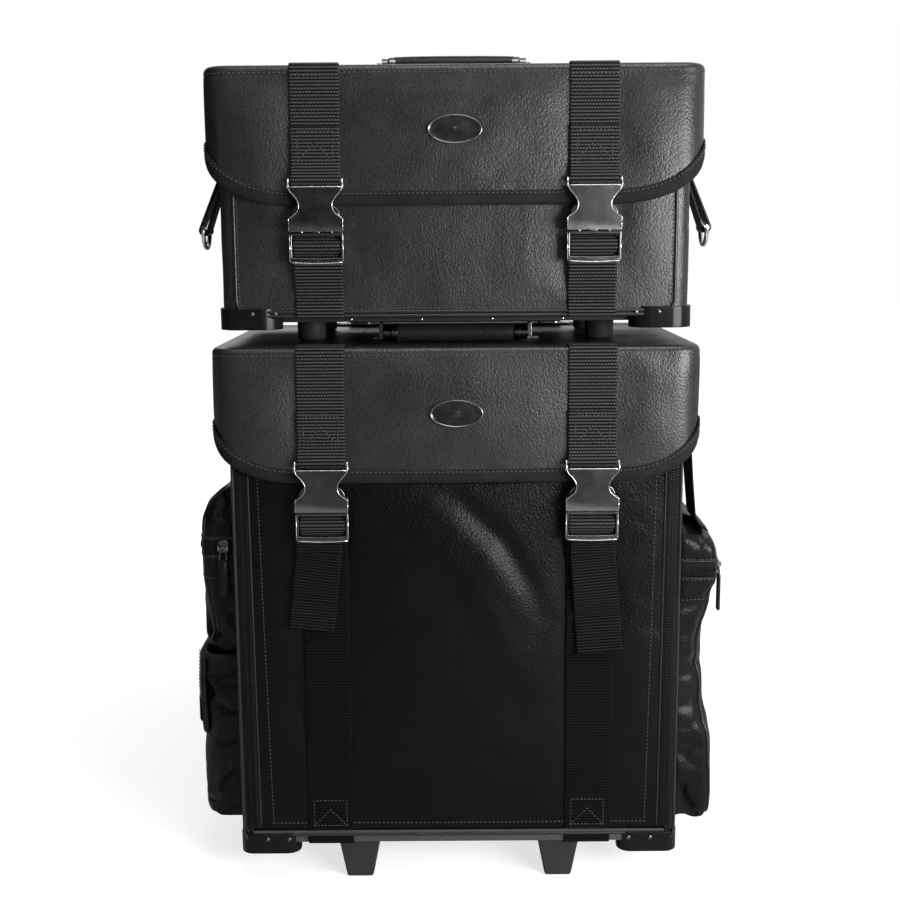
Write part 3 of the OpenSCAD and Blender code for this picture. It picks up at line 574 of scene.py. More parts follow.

# Front panel: padded leather over thin board, zipped at both sides and hinged along the sill. It
# swells between the straps and carries one long diagonal crease with a softer fold beside it.
# A far darker copy of the case leather: painted shade for the front panel, which lies low and gets less
# light.
shaded_panel_leather = leather("shaded_panel_leather", 0.0014, 0.37, specular=0.13, grain=1.0, folds=0.2)
z_lower_edge = 342
flap_run = 70
flap_rise = 39
lid_half = 194
strap_x = 107


def edge_rise(x):
    t = max(0.0, (abs(x) - (lid_half - flap_run)) / flap_run)
    return flap_rise * (1 - math.sqrt(max(0.0, 1 - min(1.0, t) ** 2)))


def swell(t):
    return math.sin(math.pi * min(1.0, max(0.0, t)))


def beside_straps(x, middle, outer, half, pinch=0.35):
    """How far leather stands out at x: crowned between the straps and beside them, held flat under them."""
    inner_edge, outer_edge = strap_x - 20, strap_x + 20
    if abs(x) < inner_edge:
        return middle * (1 - (x / inner_edge) ** 2) ** 0.8 - pinch * (abs(x) / inner_edge) ** 6
    if abs(x) < outer_edge:
        return -pinch
    t = (abs(x) - outer_edge) / (half - outer_edge)
    return outer * swell(t) - pinch * (1 - t) ** 4


def along_line(x, z, line):
    """Distance of a place from a bent line and how far along it the nearest place is, from 0 to 1."""
    best, where, total = 1e9, 0.0, 0.0
    lengths = [math.dist(a, b) for a, b in zip(line, line[1:])]
    for (ax, az), (bx, bz), size in zip(line, line[1:], lengths):
        t = min(1.0, max(0.0, ((x - ax) * (bx - ax) + (z - az) * (bz - az)) / size ** 2))
        gap = math.hypot(x - ax - t * (bx - ax), z - az - t * (bz - az))
        side = math.copysign(1.0, (bx - ax) * (z - az) - (bz - az) * (x - ax))
        if gap < abs(best):
            best, where = gap * side, (total + t * size) / sum(lengths)
        total += size
    return best, where


long_crease = [(-20, 338), (4, 322), (36, 292), (60, 252), (74, 214)]
soft_fold = [(-46, 330), (-22, 296), (12, 262), (38, 214), (48, 168)]
low_fold = [(-78, 128), (-30, 104), (24, 112), (70, 86)]


def panel_out(x, z):
    t = (341 - z) / (341 - z_sill)
    out = beside_straps(x, 7.4, 1.3, panel_half) * swell(max(0.0, t) ** 0.78) ** 0.75
    gap, s = along_line(x, z, long_crease)
    out -= 2.4 * swell(s * 0.92 + 0.08) * math.exp(-(gap / 9.0) ** 2)
    out += 2.2 * swell(s) * math.exp(-((gap + 17) / 13.0) ** 2)
    gap, s = along_line(x, z, soft_fold)
    out += 2.2 * swell(s) * math.exp(-(gap / 14.0) ** 2)
    gap, s = along_line(x, z, low_fold)
    out -= 0.8 * swell(s) * math.exp(-(gap / 8.0) ** 2)
    held = min(1.0, (panel_half - abs(x)) / 9, (z - z_sill) / 12)
    free = min(1.0, abs(abs(x) - strap_x) / 22) if abs(abs(x) - strap_x) > 19 else 0.0
    out += 0.7 * ripple(x, 3.0, z, 46) * free + 0.12 * ripple(x, 9.0, z, 17, 4) * free
    return out * max(0.0, held)


rows = []
for t in np.linspace(0, 1, 130):
    row = []
    for x in np.linspace(-171.6, 171.6, 150):
        z = (z_lower_edge - 1.2 + edge_rise(x)) * (1 - t) + (z_sill + 0.4) * t
        row.append((x, y_front - panel_out(x, z), z))
    rows.append(row)
panel_mesh = mm_mesh("front_leather_panel", *loft(rows), [shaded_panel_leather, lining])
panel = add_piece("front_leather_panel", panel_mesh, "front_panel", "leather", "front_panel")
finished(panel, ("SOLIDIFY", {"thickness": 0.004, "offset": -1.0, "use_even_offset": True,
    "material_offset": 1, "material_offset_rim": 0}))


def on_panel(x, z, lift):
    return (x, y_front - panel_out(x, z) - lift, z)


def panel_edge(x, lean, heights, lift):
    """A line up each side of the panel, which leans in a little towards the foot."""
    return [[on_panel(s * (x - lean * (1 - (z - 50) / 290)), z, lift) for z in heights] for s in (-1, 1)]


side_seams = panel_edge(160, 5, np.linspace(350, 50, 110), 0.15)
foot_seam = [on_panel(x, 50, 0.15) for x in np.linspace(-155, 155, 90)]
sew("panel_stitches", side_seams + [foot_seam], "front_panel")
strip_cords = [tube(line, 0.9) for line in panel_edge(167.5, 2, np.linspace(351, 46, 80), 0.3)]
piped("panel_side_piping", strip_cords, "front_panel")
sill_cord = tube([(x, y_front - 0.9, z_sill - 3.1) for x in np.linspace(-176, 176, 60)], 1.2)
piped("sill_piping", [sill_cord], "lower_case")

# Lids: a leather-covered top board with a front flap and side skirts in one soft skin, lined inside,
# edged all round the flap with a folded tape binding that is sewn through. The lower one hangs on the
# lower case, and the upper one on the upper case, along their rear edges.
# A lighter copy of the case leather: painted light for the lids and the upper body, which the light falls
# on.
lit_lid_leather = leather("lit_lid_leather", 0.013, 0.38, specular=0.38)
lid_r = 20
flap_out = 7.8
y_up = -108.85
y_up_back = 95.15
z_up = 471
z_up_top = 664
z_upper_edge = 559
lid_plans = {"lower": (y_front - flap_out, z_top, z_lower_edge, 1.0),
    "upper": (y_up - flap_out, z_up_top, z_upper_edge, 5.0)}


def u_outline(half, face, end, r):
    """Points and outward directions round a front from one rear end to the other, seen from above."""
    r = max(r, 0.5)
    out = [(-half, y, -1.0, 0.0) for y in np.linspace(end, face + r, 26, endpoint=False)]
    for a in np.linspace(math.pi, 1.5 * math.pi, 9, endpoint=False):
        out.append((-half + r + r * math.cos(a), face + r + r * math.sin(a), math.cos(a), math.sin(a)))
    out += [(x, face, 0.0, -1.0) for x in np.linspace(-half + r, half - r, 100)]
    for a in np.linspace(1.5 * math.pi, 2 * math.pi, 10)[1:]:
        out.append((half - r + r * math.cos(a), face + r + r * math.sin(a), math.cos(a), math.sin(a)))
    out += [(half, y, 1.0, 0.0) for y in np.linspace(face + r, end, 27)[1:]]
    return out


def lid_out(x, y, nx, ny, z, z1, z_low, seed):
    """How far a lid's wall stands out of its plain outline."""
    t = (z1 - 5 - z) / max(1.0, z1 - 5 - z_low)
    front = max(0.0, -ny)
    out = beside_straps(x, 3.4, 2.6, lid_half - 6, 0.3) * front * swell(0.1 + 0.82 * t) ** 0.8
    out += 0.8 * abs(nx) * swell(t) * swell((y + 118) / 220)
    away = min(1.0, max(0.0, abs(abs(x) - strap_x) - 19) / 12) if front > 0.5 else 1.0
    wave = 0.55 * ripple(x, y, z, 52, seed) + 0.1 * ripple(x, y, z, 19, seed + 3)
    out += wave * away * min(1.0, 4 * (1 - t))
    groove = math.exp(-((z1 - z - 6.2) / 1.2) ** 2)
    return out * min(1.0, 6 * t + 0.1) - 0.45 * groove


def edge_height(x, ny, z_edge):
    """Height of a flap's edge on its front, and of the skirts' edge beside it."""
    return z_edge + (edge_rise(x) if ny < -0.01 else flap_rise)


def lid_skin(tier, face, z1, z_edge, seed):
    outline = u_outline(lid_half, face, y_up_back, lid_r)
    rows = []
    for inset in (64, 40, 24, 14, 8):
        inner_line = u_outline(lid_half - inset, face + inset, y_up_back, lid_r - inset)
        rows.append([(x, y, z1) for x, y, _, _ in inner_line])
    for a in np.linspace(0, math.pi / 2, 5):
        lean = 5 * (1 - math.sin(a))
        z = z1 - 5 * (1 - math.cos(a))
        rows.append([(x - nx * lean, y - ny * lean, z) for x, y, nx, ny in outline])
    for t in np.linspace(0, 1, 46)[1:]:
        row = []
        for x, y, nx, ny in outline:
            low = edge_height(x, ny, z_edge)
            z = (z1 - 5) * (1 - t) + low * t
            out = lid_out(x, y, nx, ny, z, z1, low, seed)
            row.append((x + nx * out, y + ny * out, z))
        rows.append(row)
    points, faces = loft(rows)
    faces.append(tuple(range(len(outline)))[::-1])
    name = f"{tier}_lit_lid_leather"
    skin = add_piece(name, mm_mesh(name, points, faces, [lit_lid_leather, lining]), f"{tier}_lid", "leather",
        f"{tier}_lid")
    bm = bmesh.new()
    bm.from_mesh(skin.data)
    top = max(bm.faces, key=lambda f: len(f.verts))
    if top.normal.z < 0:
        top.normal_flip()
    bmesh.ops.triangulate(bm, faces=[top])
    bm.to_mesh(skin.data)
    bm.free()
    finished(skin, ("SOLIDIFY", {"thickness": 0.0034, "offset": -1.0, "use_even_offset": True,
        "material_offset": 1, "material_offset_rim": 0}))
    return outline


def neighbour_way(line, i):
    """Direction of a line at one of its points."""
    return (line[min(i + 1, len(line) - 1)] - line[max(i - 1, 0)]).normalized()


def edge_line_of(face, z1, z_edge, seed, up=0.0, lift=0.0):
    """The flap's edge from one rear end to the other, or a line that runs above it on the outer face."""
    outline = u_outline(lid_half, face, y_up_back, lid_r)
    line = []
    for x, y, nx, ny in outline:
        low = edge_height(x, ny, z_edge)
        out = lid_out(x, y, nx, ny, low + up, z1, low, seed) + lift
        line.append(Vector((x + nx * out, y + ny * out, low)))
    if not up:
        return line
    raised = []
    for i, (p, (_, _, nx, ny)) in enumerate(zip(line, outline)):
        across = neighbour_way(line, i).cross(Vector((nx, ny, 0))).normalized()
        raised.append(p + across * (up if across.z > 0 else -up))
    return raised


def woven_tape(name, tone):
    material, tree, shader = new_finish(name)
    where = places(tree)
    weave = cloudy(tree, stretched(tree, where, (900, 900, 1400)), 1.0)
    worn = maths(tree, "MULTIPLY_ADD", weave, 0.7, cloudy(tree, where, 40.0))
    tint = mapped(tree, worn, 0.5, 1.2, 0.0, 1.0)
    feed(tree, shader, {"Base Color": blended(tree, tint, rgb(tone, 0.55), rgb(tone, 1.8)),
        "Roughness": 0.7, "Specular IOR Level": 0.12, "Sheen Weight": 0.02,
        "Normal": bumped(tree, weave, 0.6, 0.0006)})
    return material


binding_tape = woven_tape("binding_tape", 0.0075)


def lid_binding(tier, face, z1, z_edge, seed):
    """A tape folded over the flap's edge: 10 mm up the outside, round the edge, and up the inside."""
    outline = u_outline(lid_half, face, y_up_back, lid_r)
    edge = edge_line_of(face, z1, z_edge, seed)
    profile = [(10.4, 0.15), (10.0, 0.85), (8.6, 1.15), (5.0, 1.3), (1.5, 1.35), (-0.6, 0.7), (-1.0, -1.4),
        (-0.6, -3.2), (1.5, -3.75), (8.0, -3.75), (8.3, -3.4)]
    rows = []
    for up, out in profile:
        row = []
        for i, ((_, _, nx, ny), p) in enumerate(zip(outline, edge)):
            normal = Vector((nx, ny, 0))
            across = normal.cross(neighbour_way(edge, i)).normalized()
            across = across if across.z > 0 else -across
            puff = 0.25 * math.sin(i * 1.9) if up > 2 and out > 1 else 0
            row.append(p + across * up + normal * (out + puff * 0.5))
        rows.append(row)
    name = f"{tier}_lid_binding"
    piece = add_piece(name, mm_mesh(name, *loft(rows), [binding_tape]), f"{tier}_lid", "leather")
    finished(piece, ("SOLIDIFY", {"thickness": 0.0003, "offset": 0.0}))
    sew(name + "_stitches", [edge_line_of(face, z1, z_edge, seed, 8.2, 1.35)], f"{tier}_lid", pitch=3.6,
        length=2.6, width=1.0)


for tier, (face, z1, z_edge, seed) in lid_plans.items():
    body = f"{tier}_lid"
    outline = lid_skin(tier, face, z1, z_edge, seed)
    lid_binding(tier, face, z1, z_edge, seed)
    seam = []
    for x, y, nx, ny in outline:
        out = lid_out(x, y, nx, ny, z1 - 6.2, z1, z_edge, seed) + 0.25
        seam.append((x + nx * out, y + ny * out, z1 - 6.2))
    sew(f"{tier}_lid_stitches", [seam], body, pitch=3.8, length=2.8, width=1.0)
    board = bmesh.new()
    for x, y in ((-186, face + 8), (186, face + 8), (186, y_up_back - 3), (-186, y_up_back - 3)):
        board.verts.new((x * 0.001, y * 0.001, (z1 - 3.5) * 0.001))
    board.faces.new(board.verts)
    bmesh.ops.recalc_face_normals(board, faces=board.faces)
    lining_mesh = bpy.data.meshes.new(f"{tier}_lid_lining")
    board.to_mesh(lining_mesh)
    board.free()
    lining_mesh.materials.append(lining)
    pad = add_piece(f"{tier}_lid_lining", lining_mesh, body, "lining_board")
    finished(pad, ("SOLIDIFY", {"thickness": 0.0024,
        "offset": -1.0 if pad.data.polygons[0].normal.z > 0 else 1.0}),
        ("BEVEL", {"width": 0.001, "segments": 2}))
    hinge_cord = tube([(x, y_up_back - 0.4, z1 - 1.2) for x in np.linspace(-192, 192, 50)], 1.3)
    piped(f"{tier}_lid_hinge_piping", [hinge_cord], body)

# Webbing straps: 38 mm ribbed polypropylene webbing. Four run from the lids' tops down the flaps and
# loop round the buckles' bars, four are sewn to the body fronts, and each is held by stitched boxes.
strap_w = 38
strap_t = 1.6


def webbing_finish(name, dark, light, cut, specular):
    """Ribs a given pitch apart across the webbing, with the fibres' weave on them, and painted shade that
    darkens the colour between the ribs and lightens their tops.
    """
    material, tree, shader = new_finish(name)
    laid = add_node(tree, "ShaderNodeUVMap", uv_map="weave").outputs[0]
    split = add_node(tree, "ShaderNodeSeparateXYZ", {0: laid})
    fibre = cloudy(tree, laid, 2.2)
    sway = maths(tree, "MULTIPLY_ADD", fibre, 0.35, split.outputs[1])
    rib_wave = maths(tree, "SINE", maths(tree, "MULTIPLY", sway, math.pi / cut))
    rib = maths(tree, "ABSOLUTE", rib_wave)
    parity = maths(tree, "FLOOR", maths(tree, "DIVIDE", sway, cut))
    shifted = maths(tree, "MULTIPLY_ADD", parity, 0.5 * math.pi, 0.0)
    column_wave = maths(tree, "SINE", maths(tree, "MULTIPLY_ADD", split.outputs[0], math.pi / 2.4, shifted))
    weave = maths(tree, "MULTIPLY_ADD", maths(tree, "ABSOLUTE", column_wave), 0.3, 0.7)
    height = maths(tree, "MULTIPLY", rib, weave)
    # Painted shade: the colour runs from dark between the ribs to light on the rib tops, times the fibres'
    # own tone.
    shade = maths(tree, "MULTIPLY", maths(tree, "POWER", height, 2.8),
        mapped(tree, fibre, 0.3, 0.7, 0.6, 1.1))
    feed(tree, shader, {"Base Color": blended(tree, shade, rgb(dark, 1, 1, 1.05), rgb(light, 1, 1, 1.04)),
        "Roughness": 0.62, "Sheen Weight": 0.02, "Specular IOR Level": specular,
        "Normal": bumped(tree, height, 0.85, 0.0007)})
    return material


webbing = webbing_finish("webbing", 0.0012, 0.076, 2.6, 0.05)
# A darker copy of the same webbing: painted shade for the hanging strap ends and the straps on the sides.
spare_webbing = webbing_finish("spare_webbing", 0.0005, 0.02, 2.4, 0.04)
# A darker copy of the same webbing: painted shade for the straps low on the front panel and at the sill.
shaded_webbing = webbing_finish("shaded_webbing", 0.0006, 0.008, 2.4, 0.04)


def strap_parts(path, width, thickness=strap_t, across=(1, 0, 0)):
    """Points, faces and lengthwise places of flat webbing that follows a path."""
    path = [Vector(p) for p in path]
    rows, weave_places, v = [], [], 0.0
    half = width / 2
    section = [(-half, 0), (-half + 0.5, -0.5)] + [(w * half, -0.5) for w in np.linspace(-0.9, 0.9, 9)]
    section += [(half - 0.5, -0.5), (half, 0), (half - 0.5, 0.5)]
    section += [(w * half, 0.5) for w in np.linspace(0.9, -0.9, 9)] + [(-half + 0.5, 0.5)]
    for i, p in enumerate(path):
        if i:
            v += (p - path[i - 1]).length
        along = neighbour_way(path, i)
        side = Vector(across(i / (len(path) - 1)) if callable(across) else across)
        side = (side - along * side.dot(along)).normalized()
        out = side.cross(along)
        rows.append([p + side * s + out * (o * thickness) for s, o in section])
        weave_places += [(s + half, v) for s, _ in section]
    return *loft(rows, True, "capped"), weave_places


def turned_out(mesh):
    """The same mesh with all its faces looking outwards."""
    bm = bmesh.new()
    bm.from_mesh(mesh)
    bmesh.ops.recalc_face_normals(bm, faces=bm.faces)
    bm.to_mesh(mesh)
    bm.free()
    return mesh


def strap_piece(name, parts, body, finish, *nodes):
    mesh = mm_mesh(name, *joined([part[:2] for part in parts]), [finish])
    layer = mesh.uv_layers.new(name="weave")
    corners = np.empty(len(mesh.loops), int)
    mesh.loops.foreach_get("vertex_index", corners)
    weave_places = np.array([place for part in parts for place in part[2]], np.float32)
    layer.data.foreach_set("uv", weave_places[corners].ravel())
    return add_piece(name, turned_out(mesh), body, "webbing", *nodes)


def stitched_box(x, y, z0, z1):
    """A sewn box with a triangle in it, as lines on a strap's face."""
    left, right = x - 13.5, x + 13.5
    peak = z0 + 0.62 * (z1 - z0)
    box_line = [(left, y, z0), (right, y, z0), (right, y, z1), (left, y, z1), (left, y, z0)]
    return [sampled(box_line, 3), sampled([(left, y, z0), (x, y, peak), (right, y, z0)], 3)]


def seam_across(x, y, z):
    """A sewn line across a strap."""
    return [(x + w, y, z) for w in np.linspace(-17, 17, 12)]


tongue_h = 23.5
buckle_back = 8.5
z_lower_joint = 319
joints = {"lower": (y_front, z_lower_joint), "upper": (y_up, 538)}
for tier, body_front, z1, back in (("lower", "front_panel", z_top, 8),
        ("upper", "upper_case", z_up_top, 56)):
    front, z_joint = joints[tier]
    face = front - flap_out
    bar_y, bar_z = front - buckle_back - 3.6, z_joint + 39
    parts, sewn = [], []
    for x in (-strap_x, strap_x):
        over = rounded([(x, front + back, z1 + 0.8), (x, face - 0.8, z1 + 0.8), (x, face - 0.8, bar_z + 8),
            (x, bar_y + 2.9, bar_z + 2), (x, bar_y + 2.2, bar_z - 2.4), (x, bar_y - 2.2, bar_z - 2.9),
            (x, bar_y - 2.7, bar_z + 1.5), (x, face - 2.5, bar_z + 11), (x, face - 2.45, bar_z + 41)], 4.5)
        line = [p + Vector((0, 0.2 * ripple(p.x, p.y, p.z, 30), 0)) for p in sampled(over, 1.6)]
        parts.append(strap_parts(line, strap_w))
        sewn += stitched_box(x, face - 3.45, bar_z + 15, bar_z + 37)
        sewn.append(seam_across(x, face - 3.45, bar_z + 12.5))
        sewn.append(seam_across(x, face - 1.75, z1 - 8.5))
    strap_piece(f"{tier}_lid_webbing", parts, f"{tier}_lid", webbing, f"{tier}_lid_straps")
    sew(f"{tier}_lid_strap_stitches", sewn, f"{tier}_lid", pitch=3.0, length=2.2)
    z_bend = z_joint - tongue_h - 26
    low = z_sill + 1.4 if tier == "lower" else z_up + 0.4
    parts, sewn = [], []
    for x in (-strap_x, strap_x):
        line = rounded([(x, front - 0.8, low), (x, front - 0.8, z_bend), (x, front - 7.6, z_bend + 22),
            (x, front - 7.6, z_joint - 4)], 7)
        parts.append(strap_parts(sampled(line, 1.6), strap_w))
        if tier == "upper":
            doubled = [(x, front - 2.3, low + 0.3), (x, front - 2.3, low + 15)]
            parts.append(strap_parts(sampled(doubled, 1.6), 37.6))
            sewn.append(seam_across(x, front - 3.3, low + 12))
        else:
            sewn += stitched_box(x, front - 1.75, low + 4, low + 26)
    strap_piece(f"{tier}_front_webbing", parts, body_front, webbing if tier == "upper" else shaded_webbing,
        "panel_straps" if tier == "lower" else "upper_front_straps")
    sew(f"{tier}_front_strap_stitches", sewn, body_front, pitch=3.0, length=2.2)
stubs = []
for x in (-strap_x, strap_x):
    line = rounded([(x, y_front + 18, z_body - 1.0), (x, y_front - 1.0, z_body - 1.0),
        (x, y_front - 1.0, z_sill - 2.4)], 3)
    stubs.append(strap_parts(sampled(line, 1.6), strap_w))
strap_piece("sill_webbing", stubs, "lower_case", shaded_webbing, "lower_strap_stubs")

# Loose strap ends: the spare webbing below each lower buckle hangs from the ladder, slants to one
# side, folds once and ends in a heat-cut, sewn hem.
for side, side_name, length, slant, x_top, fold_at in (
        (-1, "left", 56, 6.5, -strap_x - 4, 0.62),
        (1, "right", 77, -4.5, strap_x + 2, 0.68)):
    top = z_lower_joint - tongue_h - 1.2
    drop = length + 18
    turn = math.radians(slant)
    line = []
    for s in np.linspace(0, 1, 65):
        lean = max(0.0, s - 0.12) * drop
        slope = 1 - min(1.0, s * drop / 24)
        fold = 2.6 * math.exp(-((s - fold_at) / 0.055) ** 2)
        fold -= 2.2 * math.exp(-((s - fold_at - 0.13) / 0.08) ** 2)
        wave = 2.1 * (1 - math.cos(2.6 * math.pi * s)) * (0.35 + 0.65 * s)
        fold = max(-0.6, fold) * (0.9 if fold > 0 else 1.0)
        line.append(Vector((x_top - math.tan(turn) * lean, y_front - 4.2 - 5.6 * slope ** 1.1 - wave + fold,
            top - s * drop)))
    parts = strap_parts(line, 37, 1.3,
        lambda s, t=turn, d=side: (math.cos(t * s), 0.07 * d * math.sin(5 * s), math.sin(t * s)))
    tail = strap_piece(f"webbing_tail_{side_name}", [parts], "front_panel", spare_webbing,
        f"strap_tail_{side_name}")
    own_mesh(tail)

# Side-release buckles: plated die-cast halves. The socket is a waisted plate with bright edges and a
# bar for the strap, the tongue a ladder frame with two sprung wings that show in the socket's waist.


def rubbed(tree, low, high, most):
    """How far an edge is worn."""
    return mapped(tree, add_node(tree, "ShaderNodeNewGeometry").outputs["Pointiness"], low, high, 0.0, most)


def plated(name, tone, rough, bright=None):
    material, tree, shader = new_finish(name)
    where = places(tree)
    smear = cloudy(tree, where, 70.0, 4.0, Roughness=0.6)
    scratch = cloudy(tree, stretched(tree, where, (260, 260, 5200), Rotation=(0.0, 0.25, 0.0)), 1.0)
    tint = blended(tree, smear, rgb(tone, 0.85, 0.86, 0.88), rgb(tone, 1.15, 1.15, 1.17))
    edge = rgb(bright or tone * 1.4, 1)
    feed(tree, shader, {"Base Color": blended(tree, rubbed(tree, 0.53, 0.62, 1.0), tint, edge),
        "Metallic": 1.0, "Roughness": mapped(tree, smear, 0.3, 0.7, rough * 0.8, rough * 1.25),
        "Normal": bumped(tree, scratch, 0.12, 0.0003)})
    return material


gunmetal = plated("gunmetal", 0.095, 0.23, 0.28)
chrome = plated("chrome", 0.62, 0.14)
rubbed_edge = plated("rubbed_edge", 0.4, 0.2)


def plate(outline, back, front, hole=None):
    """A flat shape in x and z, given a thickness along y, with a hole that has as many points."""
    count = len(outline)
    loops = [[(x, back, z) for x, z in outline], [(x, front, z) for x, z in outline]]
    if hole:
        loops += [[(x, front, z) for x, z in hole], [(x, back, z) for x, z in hole]]
        return loft(loops, True, "joined")
    points, faces = loft(loops, wrap=True)
    return points, faces + [tuple(range(count)), tuple(range(2 * count - 1, count - 1, -1))]


def solid_piece(name, parts, body, slot, finish, bevel, *nodes):
    mesh = turned_out(mm_mesh(name, *joined(parts), [finish]))
    piece = add_piece(name, mesh, body, slot, *nodes)
    if bevel:
        finished(piece, ("BEVEL", {"width": bevel * 0.001, "segments": 3, "limit_method": "ANGLE",
            "angle_limit": math.radians(38), "profile": 0.6}), ("WEIGHTED_NORMAL", {"keep_sharp": True}))
    return piece


def smooth_half(knots):
    """A curve through knots, with seven points for each span."""
    knots = [Vector((a, b, 0)) for a, b in knots]
    out = []
    for i in range(len(knots) - 1):
        p0, p1, p2, p3 = knots[max(i - 1, 0)], knots[i], knots[i + 1], knots[min(i + 2, len(knots) - 1)]
        for t in np.linspace(0, 1, 7, endpoint=False):
            out.append(0.5 * (2 * p1 + (p2 - p0) * t + (2 * p0 - 5 * p1 + 4 * p2 - p3) * t * t
                + (3 * p1 - p0 - 3 * p2 + p3) * t ** 3))
    return [(p.x, p.y) for p in out + [knots[-1]]]


def at(x, z, pairs, side=1):
    """Places given beside a middle line and above a height, or their mirror images."""
    return [(x + side * a, z + b) for a, b in pairs]


def frame_sides(corners, droop):
    """A four-cornered frame with points along each side, the lower one bowed down."""
    out = []
    for c, (a, b) in enumerate(corners):
        a2, b2 = corners[(c + 1) % 4]
        for t in np.linspace(0, 1, 11, endpoint=False):
            out.append((a + (a2 - a) * t, b + (b2 - b) * t + (droop * swell(t) if c == 1 else 0.0)))
    return out


waist = [(20.8, 8.6), (20.4, 10.6), (17.6, 12.4), (14.2, 15.4), (12.8, 19.2), (13.2, 23.0), (15.8, 27.2),
    (19.2, 31.0), (20.7, 34.3)]
socket_half = [(20.8, 0.6), (20.8, 4.5)] + smooth_half(waist)
wall = [(18.9, 0.6), (20.8, 0.6), (20.8, 9.6), (18.9, 9.6)]
core = [(5, 24), (12, 24), (17, 31), (5, 31)]
wing = [(10.5, 0.0), (12.6, 0.0), (13.2, 5.0), (15.4, 9.6), (18.0, 12.0), (18.3, 15.6), (16.2, 19.4),
    (12.6, 21.8), (11.2, 21.4), (12.6, 17.0), (12.0, 10.0), (10.5, 5.0)]
ladder = frame_sides([(20.6, -0.4), (20.6, -22.6), (-20.6, -22.6), (-20.6, -0.4)], -0.9)
ladder_hole = frame_sides([(18.7, -2.5), (18.7, -19.3), (-18.7, -19.3), (-18.7, -2.5)], -0.54)
for tier, (front, z_joint) in joints.items():
    back = front - buckle_back
    metal, edges, bars = [], [], []
    for x in (-strap_x, strap_x):
        outline = at(x, z_joint, socket_half) + at(x, z_joint, socket_half[::-1], -1)
        metal += [plate(outline, back - 6.9, back - 9.8), plate(outline, back, back - 1.9)]
        for s in (-1, 1):
            metal += [plate(at(x, z_joint, part, s), back - 1.2, back - 7.4) for part in (wall, core)]
            ear = [(20.8, 8.6, 33.2), (20.9, 8.2, 37), (20.6, 6.0, 40.4), (20.2, 3.6, 40.6)]
            edges.append(tube(rounded([(x + s * a, back - d, z_joint + b) for a, d, b in ear], 2), 0.95))
            edges.append(tube([(x + s * a, back - 9.55, z_joint + b) for a, b in socket_half[2:]], 0.42))
            edges.append(tube([(x + s * 20.7, back - 9.4, z_joint + b) for b in (1, 9)], 0.42))
        across = [x + w for w in np.linspace(-20.6, 20.6, 12)]
        edges.append(tube([(a, back - 9.55, z_joint + 34.3) for a in across], 0.5))
        bars.append(tube([(a, back - 3.6, z_joint + 39) for a in across], 1.9, sides=12))
    lid_body = f"{tier}_lid"
    solid_piece(f"{tier}_buckle_plates", metal, lid_body, "gunmetal", gunmetal, 0.55,
        f"{tier}_buckle_sockets")
    solid_piece(f"{tier}_buckle_edges", edges, lid_body, "bright_metal", rubbed_edge, 0)
    solid_piece(f"{tier}_buckle_bars", bars, lid_body, "gunmetal", gunmetal, 0)
    back_t = back - 0.2
    for x, side_name in ((-strap_x, "left"), (strap_x, "right")):
        body = f"{tier}_tongue_{side_name}"
        frame_parts = [plate(at(x, z_joint, ladder), back_t, back_t - 7.4, at(x, z_joint, ladder_hole))]
        frame_parts += [plate(at(x, z_joint - 1, wing, s), back_t - 2.0, back_t - 6.2) for s in (-1, 1)]
        middle_bar = [(-2.5, -1), (2.5, -1), (2.0, 14), (-2.0, 14)]
        frame_parts.append(plate(at(x, z_joint, middle_bar), back_t - 2.4, back_t - 5.4))
        solid_piece(f"{tier}_buckle_tongue_{side_name}", frame_parts, body, "gunmetal", gunmetal, 0.7, body)
        bottom = [(x + w, back_t - 7.2, z_joint - 22.9 - 0.9 * swell((w + 20.6) / 41.2))
            for w in np.linspace(-20, 20, 16)]
        upright = [[(x + s * 20.5, back_t - 7.2, z_joint - b) for b in (1.4, 22.4)] for s in (-1, 1)]
        rim = [tube(bottom, 0.5)] + [tube(line, 0.4) for line in upright]
        solid_piece(f"{tier}_tongue_edges_{side_name}", rim, body, "bright_metal", rubbed_edge, 0)
        fold = [(x, back_t - d, z_joint - b)
            for d, b in ((1.0, 20.4), (3.4, 17.2), (5.6, 13.6), (6.3, 10.6), (5.2, 7.2), (1.4, 3.6))]
        strap_piece(f"{tier}_ladder_webbing_{side_name}",
            [strap_parts(sampled(rounded(fold, 3), 1.2), 36.6)], body, webbing)

